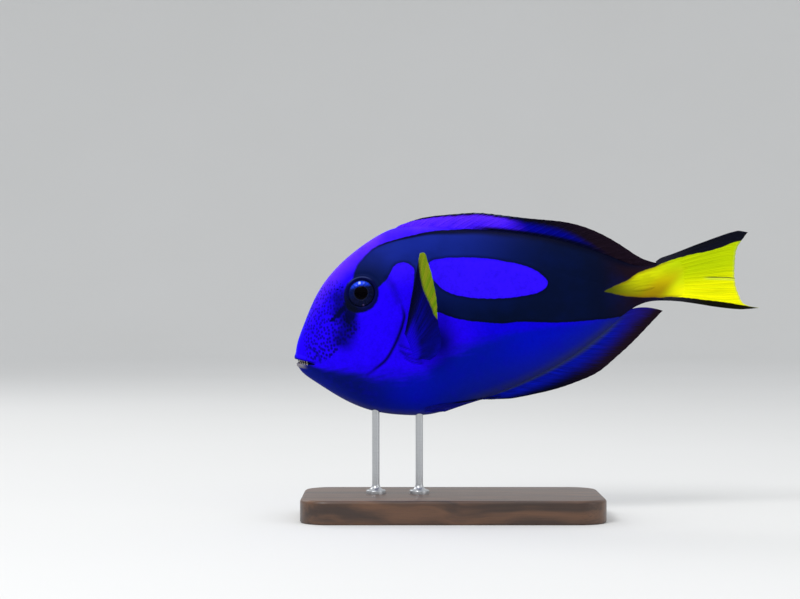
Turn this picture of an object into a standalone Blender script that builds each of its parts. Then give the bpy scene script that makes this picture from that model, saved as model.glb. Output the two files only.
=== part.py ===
"""Regal blue tang, life size, on a display stand. Metres, +Z up.

The fish is modelled in its own frame: x runs aft from the snout, y points to its right side and z
points up from the axis through the root of the tail. The empty fish_pose pitches it nose down and
carries it above the stand, whose underside is the origin.
"""

import math

import bmesh
import bpy
import numpy as np
from mathutils import Matrix, Vector

# Driving dimensions
BODY_LENGTH = 0.162  # snout to the end of the tail root, where the tail fin starts
NOSE_DOWN_DEG = 10.0
GAP = 0.0003  # kept between nodes that touch

# Outlines of the body without fins, as (x, z), and its half width, as (x, y)
BACK = (
    (0.0006, -0.0046), (0.0014, -0.0009), (0.0031, 0.0028), (0.0068, 0.0091),
    (0.0146, 0.0206), (0.0239, 0.0293), (0.0357, 0.0364), (0.0430, 0.0396),
    (0.0500, 0.0416), (0.0560, 0.0418), (0.0624, 0.0410), (0.0789, 0.0370),
    (0.0957, 0.0330), (0.1121, 0.0279), (0.1283, 0.0209), (0.1420, 0.0130),
    (0.1515, 0.0080), (0.1565, 0.0075), (0.1620, 0.0084),
)
BELLY = (
    (0.0006, -0.0078), (0.0014, -0.0109), (0.0030, -0.0132), (0.0066, -0.0168),
    (0.0122, -0.0220), (0.0179, -0.0268), (0.0297, -0.0338), (0.0421, -0.0376),
    (0.0480, -0.0387), (0.0530, -0.0391), (0.0600, -0.0386), (0.0700, -0.0372),
    (0.0780, -0.0361), (0.0860, -0.0346), (0.1016, -0.0306), (0.1200, -0.0238),
    (0.1354, -0.0155), (0.1450, -0.0106), (0.1536, -0.0082), (0.1620, -0.0092),
)
HALF_WIDTH = (
    (0.0006, 0.0014), (0.0014, 0.0027), (0.0030, 0.0035), (0.0068, 0.0049),
    (0.0146, 0.0074), (0.0239, 0.0096), (0.0357, 0.0117), (0.0478, 0.0130),
    (0.0624, 0.0132), (0.0789, 0.0122), (0.0957, 0.0104), (0.1121, 0.0083),
    (0.1283, 0.0059), (0.1420, 0.0040), (0.1520, 0.0029), (0.1620, 0.0021),
)
SNOUT_ROUNDNESS = 0.50  # exponent of the section: 0.5 is an ellipse, more is leaner
FLANK_LEANNESS = 0.62
LEAN_FROM = 0.025  # where the section has reached the flank's shape
STATIONS = 56
RING_POINTS = 40

# Rear edge of the gill cover, which parts head from torso, as (z, x)
GILL_EDGE = (
    (-0.0450, 0.0150), (-0.0360, 0.0166), (-0.0270, 0.0186), (-0.0210, 0.0226),
    (-0.0178, 0.0290), (-0.0152, 0.0335), (-0.0128, 0.0378), (-0.0093, 0.0412),
    (-0.0036, 0.0451), (0.0026, 0.0482), (0.0070, 0.0489), (0.0120, 0.0482),
    (0.0180, 0.0464), (0.0260, 0.0452), (0.0360, 0.0460), (0.0520, 0.0480),
)
GILL_COVER_RISE = 0.0007
GILL_COVER_REACH = 0.006
GILL_COVER_TOP = 0.024
GILL_COVER_BOTTOM = -0.020
TAIL_CUT_X = 0.143

# Eyes
EYE_X, EYE_Z = 0.0321, 0.0169
EYE_RADIUS = 0.0056
EYE_DOME = 0.0019
EYE_DEPTH = 0.0040
EYE_PROUD = 0.0001
ORBIT_RADIUS = 0.0066
ORBIT_TUBE = 0.00075

# Mouth, nostrils
MOUTH_CORNER = (0.0080, -0.0096)
MOUTH_FRONT_Z = -0.0066
MOUTH_OPEN = 0.0015
UPPER_LIP, LOWER_LIP = 0.0016, 0.0011
LIP_TAPER = 0.65
LIP_INSET = 0.60  # share of its radius by which a lip's middle lies under the skin
LIP_CORNER_INSET = 0.0005
TEETH = 9
TOOTH_SIZE = (0.00052, 0.00034)  # width, thickness
TOOTH_ROOT = 0.0005
TOOTH_INSET = 0.0012
TOOTH_GAP = 0.0003  # between the tips of the two rows
MOUTH_DEPTH = 0.0021
TEETH_REACH = 50  # degrees round from the front, to each side
NOSTRILS = ((0.0232, 0.0202, 0.00042), (0.0252, 0.0207, 0.00052))
NOSTRIL_DEPTH = 0.0009

# Fins of the midline. Margins are (x, z)
DORSAL_RAYS = 28
DORSAL_BASE = (0.0500, 0.1460)
DORSAL_MARGIN = (
    (0.0500, 0.0418), (0.0545, 0.0428), (0.0580, 0.0434), (0.0625, 0.0440),
    (0.0672, 0.0441), (0.0770, 0.0434), (0.0890, 0.0419), (0.0967, 0.0397),
    (0.1112, 0.0353), (0.1236, 0.0318), (0.1316, 0.0282), (0.1394, 0.0231),
    (0.1469, 0.0166), (0.1530, 0.0110), (0.1590, 0.0078),
)
DORSAL_SWEEP = (0.0045, 0.0150, 0.0130)  # how far aft of its root the first, middle and last ray ends
ANAL_RAYS = 22
ANAL_BASE = (0.0765, 0.1430)
ANAL_MARGIN = (
    (0.0765, -0.0368), (0.0833, -0.0380), (0.0893, -0.0386), (0.0950, -0.0385),
    (0.1006, -0.0383), (0.1094, -0.0376), (0.1183, -0.0361), (0.1275, -0.0334),
    (0.1346, -0.0293), (0.1400, -0.0260), (0.1502, -0.0187), (0.1545, -0.0155),
    (0.1584, -0.0130),
)
ANAL_SWEEP = (0.0040, 0.0130, 0.0150)
FIN_ROOT_DEPTH = 0.0014

# Tail fin
TAIL_RAYS = 17
TAIL_ROOT_X = 0.1620
TAIL_MARGIN = (
    (0.0139, 0.1999), (0.0114, 0.1973), (0.0084, 0.1946), (0.0039, 0.1927),
    (-0.0031, 0.1910), (-0.0087, 0.1907), (-0.0128, 0.1916), (-0.0161, 0.1932),
    (-0.0178, 0.1962), (-0.0188, 0.1992),
)
TAIL_BOW = (0.0022, -0.0012)  # how far the top and bottom rays bow outwards

# Paired fins of the fish's left side. The right side mirrors them
PECTORAL_RAYS = 15
PECTORAL_ROOT = ((0.0470, -0.0040), (0.0500, -0.0140))
PECTORAL_TIPS = (
    (0.0598, 0.0286), (0.0614, 0.0289), (0.0624, 0.0258), (0.0630, 0.0216),
    (0.0634, 0.0151), (0.0634, 0.0085), (0.0626, 0.0015), (0.0625, -0.0030),
    (0.0627, -0.0071), (0.0616, -0.0115), (0.0592, -0.0144), (0.0565, -0.0157),
)
PECTORAL_OUT = (0.0170, 0.0030)  # how far out of the flank the first and last tip stand
PECTORAL_BOW = 0.0030
PELVIC_RAYS = 4
PELVIC_ROOT = ((0.0480, -0.0352), (0.0500, -0.0372))
PELVIC_TIPS = ((0.0835, -0.0375), (0.0770, -0.0371), (0.0690, -0.0376), (0.0590, -0.0391))
PELVIC_OUT = 0.0014  # how far out of the flank the folded fin lies

# Fin thicknesses, as halves
MEMBRANE, MEMBRANE_EDGE = 0.00030, 0.00022
RAY, RAY_TIP = 0.00058, 0.00026
NOTCH = 0.0007  # how far the membrane falls short of the ray tips
RIDGE = 0.27  # half the width of a ray's ridge, as a share of the way to the next ray

# Folding spine on each side of the tail root
SCALPEL_AT = (0.1515, -0.0020)
SCALPEL_SIZE = (0.0046, 0.0008, 0.0007)

# Stand, and where the fish's snout is above it
SNOUT_X, SNOUT_Z = -0.0680, 0.0733
BASE_SIZE = (0.128, 0.060, 0.010)
BASE_CORNER = 0.012
BASE_EDGE = 0.0015
ROD_RADIUS = 0.0016
ROD_STATIONS = (0.0300, 0.0480)  # along the fish
FOOT_RADIUS, FOOT_HEIGHT = 0.0042, 0.0030


def smooth_curve(points, root_start=False):
    """Natural cubic spline through (x, value). root_start spaces it by the root of x, for a blunt end."""
    xs, values = np.array(points).T

    def scale(x):
        return np.sqrt(x - xs[0]) if root_start else x

    knots = scale(xs)
    h = np.diff(knots)
    n = len(knots)
    matrix, rhs = np.eye(n), np.zeros(n)
    for i in range(1, n - 1):
        matrix[i, i - 1 : i + 2] = h[i - 1], 2 * (h[i - 1] + h[i]), h[i]
        rhs[i] = 6 * ((values[i + 1] - values[i]) / h[i] - (values[i] - values[i - 1]) / h[i - 1])
    bends = np.linalg.solve(matrix, rhs)

    def at(x):
        k = scale(np.clip(x, xs[0], xs[-1]))
        i = np.clip(np.searchsorted(knots, k) - 1, 0, n - 2)
        a, b = knots[i + 1] - k, k - knots[i]
        return (
            (bends[i] * a**3 + bends[i + 1] * b**3) / (6 * h[i])
            + (values[i] / h[i] - bends[i] * h[i] / 6) * a
            + (values[i + 1] / h[i] - bends[i + 1] * h[i] / 6) * b
        )

    return at


back_z = smooth_curve(BACK, root_start=True)
belly_z = smooth_curve(BELLY, root_start=True)
half_width = smooth_curve(HALF_WIDTH, root_start=True)
gill_x = smooth_curve(GILL_EDGE)


def ease(t):
    t = np.clip(t, 0, 1)
    return t * t * (3 - 2 * t)


def leanness(x):
    return SNOUT_ROUNDNESS + (FLANK_LEANNESS - SNOUT_ROUNDNESS) * ease(x / LEAN_FROM)


def flank_y(x, z):
    """Distance of the skin from the midline at a point of the side view."""
    middle, reach = (back_z(x) + belly_z(x)) / 2, (back_z(x) - belly_z(x)) / 2
    share = np.clip(1 - ((z - middle) / reach) ** 2, 0, 1)
    return half_width(x) * share ** leanness(x)


def gill_cover_rise(x, z):
    ahead = np.maximum(gill_x(z) - x, 0)
    span = ease((z - GILL_COVER_BOTTOM) / 0.010) * ease((GILL_COVER_TOP - z) / 0.010)
    return GILL_COVER_RISE * span * np.exp(-ahead / GILL_COVER_REACH)


def new_object(name, verts, faces, parent=None):
    mesh = bpy.data.meshes.new(name)
    mesh.from_pydata([tuple(v) for v in verts], [], faces)
    bm = bmesh.new()
    bm.from_mesh(mesh)
    bmesh.ops.recalc_face_normals(bm, faces=bm.faces)
    bm.to_mesh(mesh)
    bm.free()
    obj = bpy.data.objects.new(name, mesh)
    bpy.context.scene.collection.objects.link(obj)
    obj.parent = parent
    return obj


def loft(name, rings, parent=None):
    """Closed skin through rings of as many points each, capped at both ends."""
    count = len(rings[0])
    verts = [p for ring in rings for p in ring]
    faces = [tuple(range(count)), tuple(range(len(verts) - count, len(verts)))]
    for i in range(len(rings) - 1):
        for j in range(count):
            a, b = i * count + j, i * count + (j + 1) % count
            faces.append((a, b, b + count, a + count))
    return new_object(name, verts, faces, parent)


def body_loft(name, grow=0.0, relief=None, parent=None):
    """The whole trunk from snout to tail root, grown outwards by grow."""
    rings = []
    start = BACK[0][0]
    for x in start + (BODY_LENGTH - start) * (np.arange(STATIONS + 1) / STATIONS) ** 1.6:
        top, bottom = back_z(x) + grow, belly_z(x) - grow
        angles = 2 * math.pi * (np.arange(RING_POINTS) + 0.5) / RING_POINTS
        z = (top + bottom) / 2 + (top - bottom) / 2 * np.cos(angles)
        y = (half_width(x) + grow) * np.abs(np.sin(angles)) ** (2 * leanness(x))
        if relief is not None:
            y = y + relief(x, z)
        rings.append([(x, side * v, w) for side, v, w in zip(np.sign(np.sin(angles)), y, z)])
    if grow:
        rings.insert(0, [(start - grow, y, z) for _, y, z in rings[0]])
    return loft(name, rings, parent)


def prism(name, outline, half_depth, parent=None):
    """An outline in x and z, extruded both ways along y."""
    return loft(name, [[(x, y, z) for x, z in outline] for y in (-half_depth, half_depth)], parent)


def tube(name, path, radii, sides=8, parent=None):
    path = [Vector(p) for p in path]
    rings, normal = [], Vector((0, 0, 1))
    for i, p in enumerate(path):
        along = (path[min(i + 1, len(path) - 1)] - path[max(i - 1, 0)]).normalized()
        normal = (normal - along * normal.dot(along)).normalized()
        across = along.cross(normal)
        turn = [2 * math.pi * j / sides for j in range(sides)]
        rings.append([p + (normal * math.cos(a) + across * math.sin(a)) * radii[i] for a in turn])
    return loft(name, rings, parent)


def turned(name, profile, sides, place, parent=None):
    """A profile of (radius, height) turned about z, then moved by the matrix place."""
    rings = []
    for radius, height in profile:
        turn = [2 * math.pi * j / sides for j in range(sides)]
        rings.append([place @ Vector((radius * math.cos(a), radius * math.sin(a), height)) for a in turn])
    return loft(name, rings, parent)


def keep_largest(obj):
    """Drops every closed surface of the mesh but the largest."""
    bm = bmesh.new()
    bm.from_mesh(obj.data)
    islands, left = [], set(bm.verts)
    while left:
        island, edge = set(), [left.pop()]
        while edge:
            vert = edge.pop()
            island.add(vert)
            near = {e.other_vert(vert) for e in vert.link_edges} & left
            left -= near
            edge.extend(near)
        islands.append(island)

    def size(island):
        corner = [[f(v.co[i] for v in island) for i in range(3)] for f in (min, max)]
        return (Vector(corner[1]) - Vector(corner[0])).length

    islands.sort(key=size)
    loose = [v for island in islands[:-1] for v in island]
    bmesh.ops.delete(bm, geom=loose, context="VERTS")
    bm.to_mesh(obj.data)
    bm.free()


def combine(obj, others, operation, solver="EXACT"):
    """Applies one Boolean of obj with a collection that holds the others, and removes them."""
    group = bpy.data.collections.new("operands")
    bpy.context.scene.collection.children.link(group)
    for other in others:
        group.objects.link(other)
    modifier = obj.modifiers.new(operation, "BOOLEAN")
    modifier.operation = operation
    modifier.operand_type = "COLLECTION"
    modifier.collection = group
    modifier.solver = solver
    bpy.context.view_layer.update()
    graph = bpy.context.evaluated_depsgraph_get()
    mesh = bpy.data.meshes.new_from_object(obj.evaluated_get(graph))
    obj.modifiers.clear()
    obj.data = mesh
    for other in others:
        bpy.data.objects.remove(other)
    bpy.data.collections.remove(group)
    keep_largest(obj)
    return obj


def finish(obj, name, colour, roughness, metallic=0.0):
    material = bpy.data.materials.new(name)
    material.use_nodes = True
    shader = material.node_tree.nodes["Principled BSDF"]
    shader.inputs["Base Color"].default_value = (*colour, 1)
    shader.inputs["Roughness"].default_value = roughness
    shader.inputs["Metallic"].default_value = metallic
    obj.name = name
    obj.data.materials.clear()
    obj.data.materials.append(material)
    obj.data.shade_smooth()
    obj.data.set_sharp_from_angle(angle=math.radians(40))
    return obj


def gill_line(offset):
    """The gill cover's edge, moved aft by offset, as (x, z) from belly to back."""
    zs = np.linspace(GILL_EDGE[0][0], GILL_EDGE[-1][0], 44)
    line = np.stack([gill_x(zs), zs], axis=1)
    along = np.gradient(line, axis=0)
    aft = np.stack([along[:, 1], -along[:, 0]], axis=1)
    aft /= np.linalg.norm(aft, axis=1)[:, None]
    return [tuple(p) for p in line + offset * aft]


def skin_matrix(x, z, side, tilt=1.0):
    """Frame on the skin at a point of the side view, with z pointing out of it and x aft."""
    step = 0.0005
    slope_x = (flank_y(x + step, z) - flank_y(x - step, z)) / (2 * step) * tilt
    slope_z = (flank_y(x, z + step) - flank_y(x, z - step)) / (2 * step) * tilt
    out = Vector((-slope_x, side, -slope_z)).normalized()
    aft = Vector((1, 0, 0))
    aft = (aft - out * aft.dot(out)).normalized()
    up = out.cross(aft)
    frame = Matrix((aft, up, out)).transposed().to_4x4()
    return Matrix.Translation((x, side * float(flank_y(x, z)), z)) @ frame


def mouth_z(x):
    """Middle of the mouth slit."""
    share = np.clip(x / MOUTH_CORNER[0], 0, 1)
    return MOUTH_FRONT_Z + (MOUTH_CORNER[1] - MOUTH_FRONT_Z) * share


def mouth_arc(turn, inset=0.0, lift=0.0):
    """A point of the mouth's line, turn round from the front to a corner at a quarter turn.

    inset moves it into the flesh and lift moves it up from the middle of the slit.
    """
    start, (end, low) = BACK[0][0], MOUTH_CORNER
    x = start + (end - start) * (1 - math.cos(turn)) + inset * math.cos(turn)
    y = (flank_y(end, low) - inset) * math.sin(turn)
    return Vector((x, y, mouth_z(x) + lift))


def lip(name, sign, radius, parent):
    """A lip from corner to corner round the snout, above the slit or below it."""
    path, radii = [], []
    for turn in np.radians(np.linspace(-90, 90, 23)):
        radii.append(radius * (1 - LIP_TAPER * math.sin(turn) ** 2))
        opening = MOUTH_OPEN / 2 * math.cos(turn)
        inset = LIP_INSET * radii[-1] + LIP_CORNER_INSET * math.sin(turn) ** 6
        path.append(mouth_arc(turn, inset, sign * (opening + radii[-1] * 0.7)))
    return tube(name, path, radii, 10, parent)


def teeth(name, sign, parent):
    """A row of small blunt teeth, their roots sunk in the jaw above the slit or below it."""
    width, thickness = TOOTH_SIZE
    row = []
    for turn in np.radians(np.linspace(-TEETH_REACH, TEETH_REACH, TEETH)):
        root_lift = MOUTH_OPEN / 2 * math.cos(turn) + TOOTH_ROOT
        along = Vector((math.sin(turn), math.cos(turn), 0))
        inward = Vector((math.cos(turn), -math.sin(turn), 0))
        rings = []
        for share, girth in ((0, 0.8), (0.75, 1), (1, 0.55)):
            lift = root_lift + (TOOTH_GAP / 2 - root_lift) * share
            centre = mouth_arc(turn, TOOTH_INSET, sign * lift)
            ring = []
            for a in (math.pi / 3 * j for j in range(6)):
                across, deep = width / 2 * math.cos(a), thickness / 2 * math.sin(a)
                ring.append(centre + (along * across + inward * deep) * girth)
            rings.append(ring)
        row.append(loft(name, rings, parent))
    return row


def mouth_floor(parent):
    """What closes the mouth behind the teeth."""
    rings = []
    for lift in (-MOUTH_OPEN, MOUTH_OPEN):
        rings.append([mouth_arc(turn, MOUTH_DEPTH, lift) for turn in np.radians(np.linspace(-100, 100, 13))])
    return loft("mouth_floor", rings, parent)


def make_head(pose):
    head = body_loft("head", relief=gill_cover_rise, parent=pose)
    pieces = [lip("upper_lip", 1, UPPER_LIP, pose), lip("lower_lip", -1, LOWER_LIP, pose)]
    cutters = [prism("behind", gill_line(0) + [(0.2, 0.06), (0.2, -0.06)], 0.03, pose)]
    corner_x, corner_z = MOUTH_CORNER
    slope = (MOUTH_FRONT_Z - corner_z) / corner_x
    slit = [(corner_x, corner_z)]
    slit += [(-0.003, MOUTH_FRONT_Z + slope * 0.003 + end * MOUTH_OPEN * 0.65) for end in (-1, 1)]
    cutters.append(prism("slit", slit, 0.01, pose))
    for side in (-1, 1):
        socket = skin_matrix(EYE_X, EYE_Z, side, tilt=0.7)
        pieces.append(orbit_ring(socket, pose))
        hollow = ((EYE_RADIUS + GAP, -EYE_DEPTH - GAP), (EYE_RADIUS + GAP, 0.004))
        cutters.append(turned("socket", hollow, 32, socket, pose))
        for x, z, radius in NOSTRILS:
            pit = ((radius * 0.6, -NOSTRIL_DEPTH), (radius, 0.001))
            cutters.append(turned("nostril", pit, 8, skin_matrix(x, z, side), pose))
    combine(head, pieces, "UNION")
    combine(head, cutters, "DIFFERENCE")
    inside = [mouth_floor(pose), *teeth("upper_tooth", 1, pose), *teeth("lower_tooth", -1, pose)]
    combine(head, inside, "UNION", "MANIFOLD")
    return finish(head, "head", (0.03, 0.02, 0.75), 0.4)


def orbit_ring(socket, pose):
    """Raised skin round the eye."""
    turn = [2 * math.pi * i / 32 for i in range(32)]
    small = [2 * math.pi * j / 8 for j in range(8)]
    verts, faces = [], []
    for i, a in enumerate(turn):
        for j, b in enumerate(small):
            r = ORBIT_RADIUS + ORBIT_TUBE * math.cos(b)
            verts.append(socket @ Vector((r * math.cos(a), r * math.sin(a), ORBIT_TUBE * math.sin(b) - 0.0001)))
            k, m = (i + 1) % 32, (j + 1) % 8
            faces.append((i * 8 + j, k * 8 + j, k * 8 + m, i * 8 + m))
    return new_object("orbit", verts, faces, pose)


def make_eye(side, name, pose):
    """A lens-shaped eye: a flat back, a short wall and a domed front."""
    dome = [
        (EYE_RADIUS * math.cos(a), EYE_PROUD + EYE_DOME * math.sin(a))
        for a in np.radians((0, 15, 30, 45, 60, 75, 87))
    ]
    profile = [(EYE_RADIUS * 0.9, -EYE_DEPTH), (EYE_RADIUS, -EYE_DEPTH * 0.85), *dome]
    eye = turned(name, profile, 24, skin_matrix(EYE_X, EYE_Z, side, tilt=0.7), pose)
    return finish(eye, name, (0.005, 0.01, 0.05), 0.1)


def make_torso(pose):
    torso = body_loft("torso", parent=pose)
    before = prism("before", gill_line(GAP) + [(-0.02, 0.06), (-0.02, -0.06)], 0.03, pose)
    after = prism("after", [(TAIL_CUT_X, -0.06), (0.2, -0.06), (0.2, 0.06), (TAIL_CUT_X, 0.06)], 0.03, pose)
    combine(torso, [before, after], "DIFFERENCE")
    return finish(torso, "torso", (0.01, 0.02, 0.5), 0.4)


def make_tail(pose):
    tail = body_loft("tail", parent=pose)
    start = TAIL_CUT_X + GAP
    before = prism("before", [(-0.02, -0.06), (start, -0.06), (start, 0.06), (-0.02, 0.06)], 0.03, pose)
    combine(tail, [before], "DIFFERENCE")
    combine(tail, [scalpel(side, pose) for side in (-1, 1)], "UNION")
    return finish(tail, "tail", (0.8, 0.75, 0.01), 0.4)


def scalpel(side, pose):
    """The blade that folds into the tail root: a slender half lens, pointed forward."""
    length, height, rise = SCALPEL_SIZE
    place = skin_matrix(*SCALPEL_AT, side)
    rings = []
    for s in np.linspace(-0.999, 0.999, 11):
        girth = math.sqrt(1 - s * s) * (0.75 + 0.25 * s)
        ring = []
        for a in np.linspace(0, 2 * math.pi, 9)[:-1]:
            ring.append(place @ Vector((s * length, height * girth * math.cos(a), rise * girth * math.sin(a))))
        rings.append(ring)
    return loft("scalpel", rings, pose)


def vane(name, grid, half, parent):
    """A fin from a grid of points, columns along it and rows from root to margin, and its half thickness."""
    across, along = np.gradient(grid, axis=0), np.gradient(grid, axis=1)
    normal = np.cross(across, along)
    normal /= np.linalg.norm(normal, axis=2)[:, :, None]
    columns, rows, _ = grid.shape
    front, behind = grid + normal * half[:, :, None], grid - normal * half[:, :, None]
    verts = [*front.reshape(-1, 3), *behind.reshape(-1, 3)]
    shift = columns * rows
    faces = []
    for c in range(columns - 1):
        for r in range(rows - 1):
            a, b = c * rows + r, (c + 1) * rows + r
            faces += [(a, b, b + 1), (a, b + 1, a + 1)]
            faces += [(shift + a, shift + b + 1, shift + b), (shift + a, shift + a + 1, shift + b + 1)]
    border = [c * rows for c in range(columns)]
    border += [(columns - 1) * rows + r for r in range(1, rows)]
    border += [c * rows + rows - 1 for c in range(columns - 2, -1, -1)]
    border += [r for r in range(rows - 2, 0, -1)]
    for a, b in zip(border, border[1:] + border[:1]):
        faces += [(a, b, shift + b), (a, shift + b, shift + a)]
    return new_object(name, verts, faces, parent)


def ray_columns(rays):
    """Places along a fin, counted in rays: each ray's crest and the foot of its ridge on both sides."""
    places = [i + step for i in range(rays) for step in (-RIDGE, 0, RIDGE)]
    return np.array(places[1:-1])


def fin_grid(roots, tips, rows, bow=None):
    """A column of points for each place, from root to tip. bow moves the middle of each ray."""
    rays = len(roots)
    places = ray_columns(rays)

    def at(values):
        return np.stack([np.interp(places, np.arange(rays), v) for v in np.transpose(values)], axis=1)

    roots, tips = at(roots), at(tips)
    inward = (roots - tips) / np.linalg.norm(roots - tips, axis=1)[:, None]
    tips += inward * (NOTCH * (places % 1 != 0))[:, None]
    share = np.linspace(0, 1, rows)[None, :, None]
    grid = roots[:, None] * (1 - share) + tips[:, None] * share
    if bow is not None:
        grid += at(bow)[:, None] * (4 * share * (1 - share))
    return grid


def fin_half(rays, rows, root_swell=0.0, ray=RAY):
    """Half thickness: rays stand out as ridges and both thin out to the margin."""
    share = np.linspace(0, 1, rows)
    crest = (ray_columns(rays) % 1 == 0)[:, None]
    half = np.where(crest, ray + (RAY_TIP - ray) * share, MEMBRANE + (MEMBRANE_EDGE - MEMBRANE) * share)
    return half + root_swell * (1 - ease(share / 0.3))


def sweep_at(sweep, share):
    """Blends the sweep of the first ray into the middle's, and that into the last's."""
    first, middle, last = sweep
    opening = first + (middle - first) * ease(share / 0.25)
    return opening + (last - middle) * ease((share - 0.5) / 0.5)


def midline_fin(name, rays, base, root_z, margin, sweep, sign, pose, colour):
    """A fin along the back or belly, with swept rays, its root sunk into the body and cut to it."""
    share = np.linspace(0, 1, rays)
    root_x = base[0] + (base[1] - base[0]) * share
    tip_x = root_x + sweep_at(sweep, share)
    margin_z = smooth_curve(margin)
    nothing = np.zeros(rays)
    roots = np.stack([root_x, nothing, root_z(root_x) - sign * FIN_ROOT_DEPTH], axis=1)
    tips = np.stack([tip_x, nothing, margin_z(tip_x)], axis=1)
    fin = vane(name, fin_grid(roots, tips, 5), fin_half(rays, 5), pose)
    combine(fin, [body_loft("clear", grow=GAP, parent=pose)], "DIFFERENCE")
    return finish(fin, name, colour, 0.4)


def make_tail_fin(pose):
    share = np.linspace(0, 1, TAIL_RAYS)
    tip_z = TAIL_MARGIN[0][0] + (TAIL_MARGIN[-1][0] - TAIL_MARGIN[0][0]) * share
    margin_x = smooth_curve(TAIL_MARGIN[::-1])
    top, bottom = back_z(BODY_LENGTH) - 0.0002, belly_z(BODY_LENGTH) + 0.0002
    root_z = top + (bottom - top) * share
    start = TAIL_ROOT_X + GAP
    roots = np.stack([np.full(TAIL_RAYS, start), np.zeros(TAIL_RAYS), root_z], axis=1)
    tips = np.stack([margin_x(tip_z), np.zeros(TAIL_RAYS), tip_z], axis=1)
    bow = np.zeros((TAIL_RAYS, 3))
    bow[:, 2] = TAIL_BOW[0] * (1 - share) ** 2 + TAIL_BOW[1] * share**2
    grid = fin_grid(roots, tips, 6, bow)
    fin = vane("tail_fin", grid, fin_half(TAIL_RAYS, 6, root_swell=0.0010, ray=0.0007), pose)
    return finish(fin, "tail_fin", (0.8, 0.8, 0.01), 0.4)


def spread(points, count):
    """count points evenly along a smooth curve through points of the side view."""
    line = np.array(points, float)
    steps = np.r_[0, np.cumsum(np.linalg.norm(np.diff(line, axis=0), axis=1))]
    at = np.linspace(0, steps[-1], count)
    return np.stack([smooth_curve(list(zip(steps, line[:, i])))(at) for i in range(2)], axis=1)


def make_pectoral_fin(side, name, pose):
    share = np.linspace(0, 1, PECTORAL_RAYS)
    root = np.array(PECTORAL_ROOT)
    foot = root[0] + (root[1] - root[0]) * share[:, None]
    tip = spread(PECTORAL_TIPS, PECTORAL_RAYS)
    out = PECTORAL_OUT[0] + (PECTORAL_OUT[1] - PECTORAL_OUT[0]) * share
    root_y = flank_y(foot[:, 0], foot[:, 1]) - FIN_ROOT_DEPTH
    tip_y = flank_y(foot[:, 0], foot[:, 1]) + out
    roots = np.stack([foot[:, 0], side * root_y, foot[:, 1]], axis=1)
    tips = np.stack([tip[:, 0], side * tip_y, tip[:, 1]], axis=1)
    bow = np.zeros((PECTORAL_RAYS, 3))
    bow[:, 1] = side * PECTORAL_BOW * (1 - 0.4 * share)
    grid = fin_grid(roots, tips, 6, bow)
    fin = vane(name, grid, fin_half(PECTORAL_RAYS, 6, root_swell=0.0007), pose)
    combine(fin, [body_loft("clear", grow=GAP, parent=pose)], "DIFFERENCE")
    return finish(fin, name, (0.45, 0.5, 0.02), 0.4)


def make_pelvic_fin(side, name, pose):
    """Folded back along the belly, its blade upright beside the keel."""
    share = np.linspace(0, 1, PELVIC_RAYS)[:, None]
    foot = np.array(PELVIC_ROOT[0]) * (1 - share) + np.array(PELVIC_ROOT[1]) * share
    flat = fin_grid(foot, np.array(PELVIC_TIPS), 8)
    x, z = flat[:, :, 0], flat[:, :, 1]
    along = np.linspace(0, 1, 8)[None]
    y = np.maximum(flank_y(x, z), 0.0006 * ease(along)) - 0.0006 + (PELVIC_OUT + 0.0006) * ease(along / 0.3)
    grid = np.stack([x, side * y, z], axis=2)
    fin = vane(name, grid, fin_half(PELVIC_RAYS, 8, ray=0.0005), pose)
    combine(fin, [body_loft("clear", grow=GAP, parent=pose)], "DIFFERENCE")
    return finish(fin, name, (0.02, 0.02, 0.3), 0.4)


def make_stand(pose):
    width, depth, height = BASE_SIZE
    outline = []
    for sx, sy, start in ((1, 1, 0), (-1, 1, 90), (-1, -1, 180), (1, -1, 270)):
        for a in np.radians(start + np.linspace(0, 90, 9)):
            outline.append((
                sx * (width / 2 - BASE_CORNER) + BASE_CORNER * math.cos(a),
                sy * (depth / 2 - BASE_CORNER) + BASE_CORNER * math.sin(a),
            ))
    base = loft("stand_base", [[(x, y, z) for x, y in outline] for z in (0, height)])
    edge = base.modifiers.new("edge", "BEVEL")
    edge.width, edge.segments, edge.limit_method = BASE_EDGE, 2, "ANGLE"
    edge.angle_limit = math.radians(40)
    finish(base, "stand_base", (0.09, 0.05, 0.03), 0.5)
    for name, station in zip(("stand_rod_front", "stand_rod_rear"), ROD_STATIONS):
        top = pose.matrix_world @ Vector((station, 0, float(belly_z(station))))
        profile = [
            (FOOT_RADIUS, height + GAP), (FOOT_RADIUS, height + FOOT_HEIGHT * 0.5),
            (ROD_RADIUS * 1.6, height + FOOT_HEIGHT), (ROD_RADIUS, height + FOOT_HEIGHT * 1.3),
            (ROD_RADIUS, top.z + 0.004),
        ]
        rod = turned(name, profile, 20, Matrix.Translation((top.x, 0, 0)))
        combine(rod, [body_loft("clear", grow=GAP, parent=pose)], "DIFFERENCE")
        finish(rod, name, (0.7, 0.7, 0.72), 0.3, 1.0)


def make_pose():
    """The empty that holds the fish, nose down."""
    pose = bpy.data.objects.new("fish_pose", None)
    bpy.context.scene.collection.objects.link(pose)
    turn = Matrix.Rotation(math.radians(-NOSE_DOWN_DEG), 4, "Y")
    pose.matrix_world = Matrix.Translation((SNOUT_X, 0, SNOUT_Z)) @ turn
    bpy.context.view_layer.update()
    return pose


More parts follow.
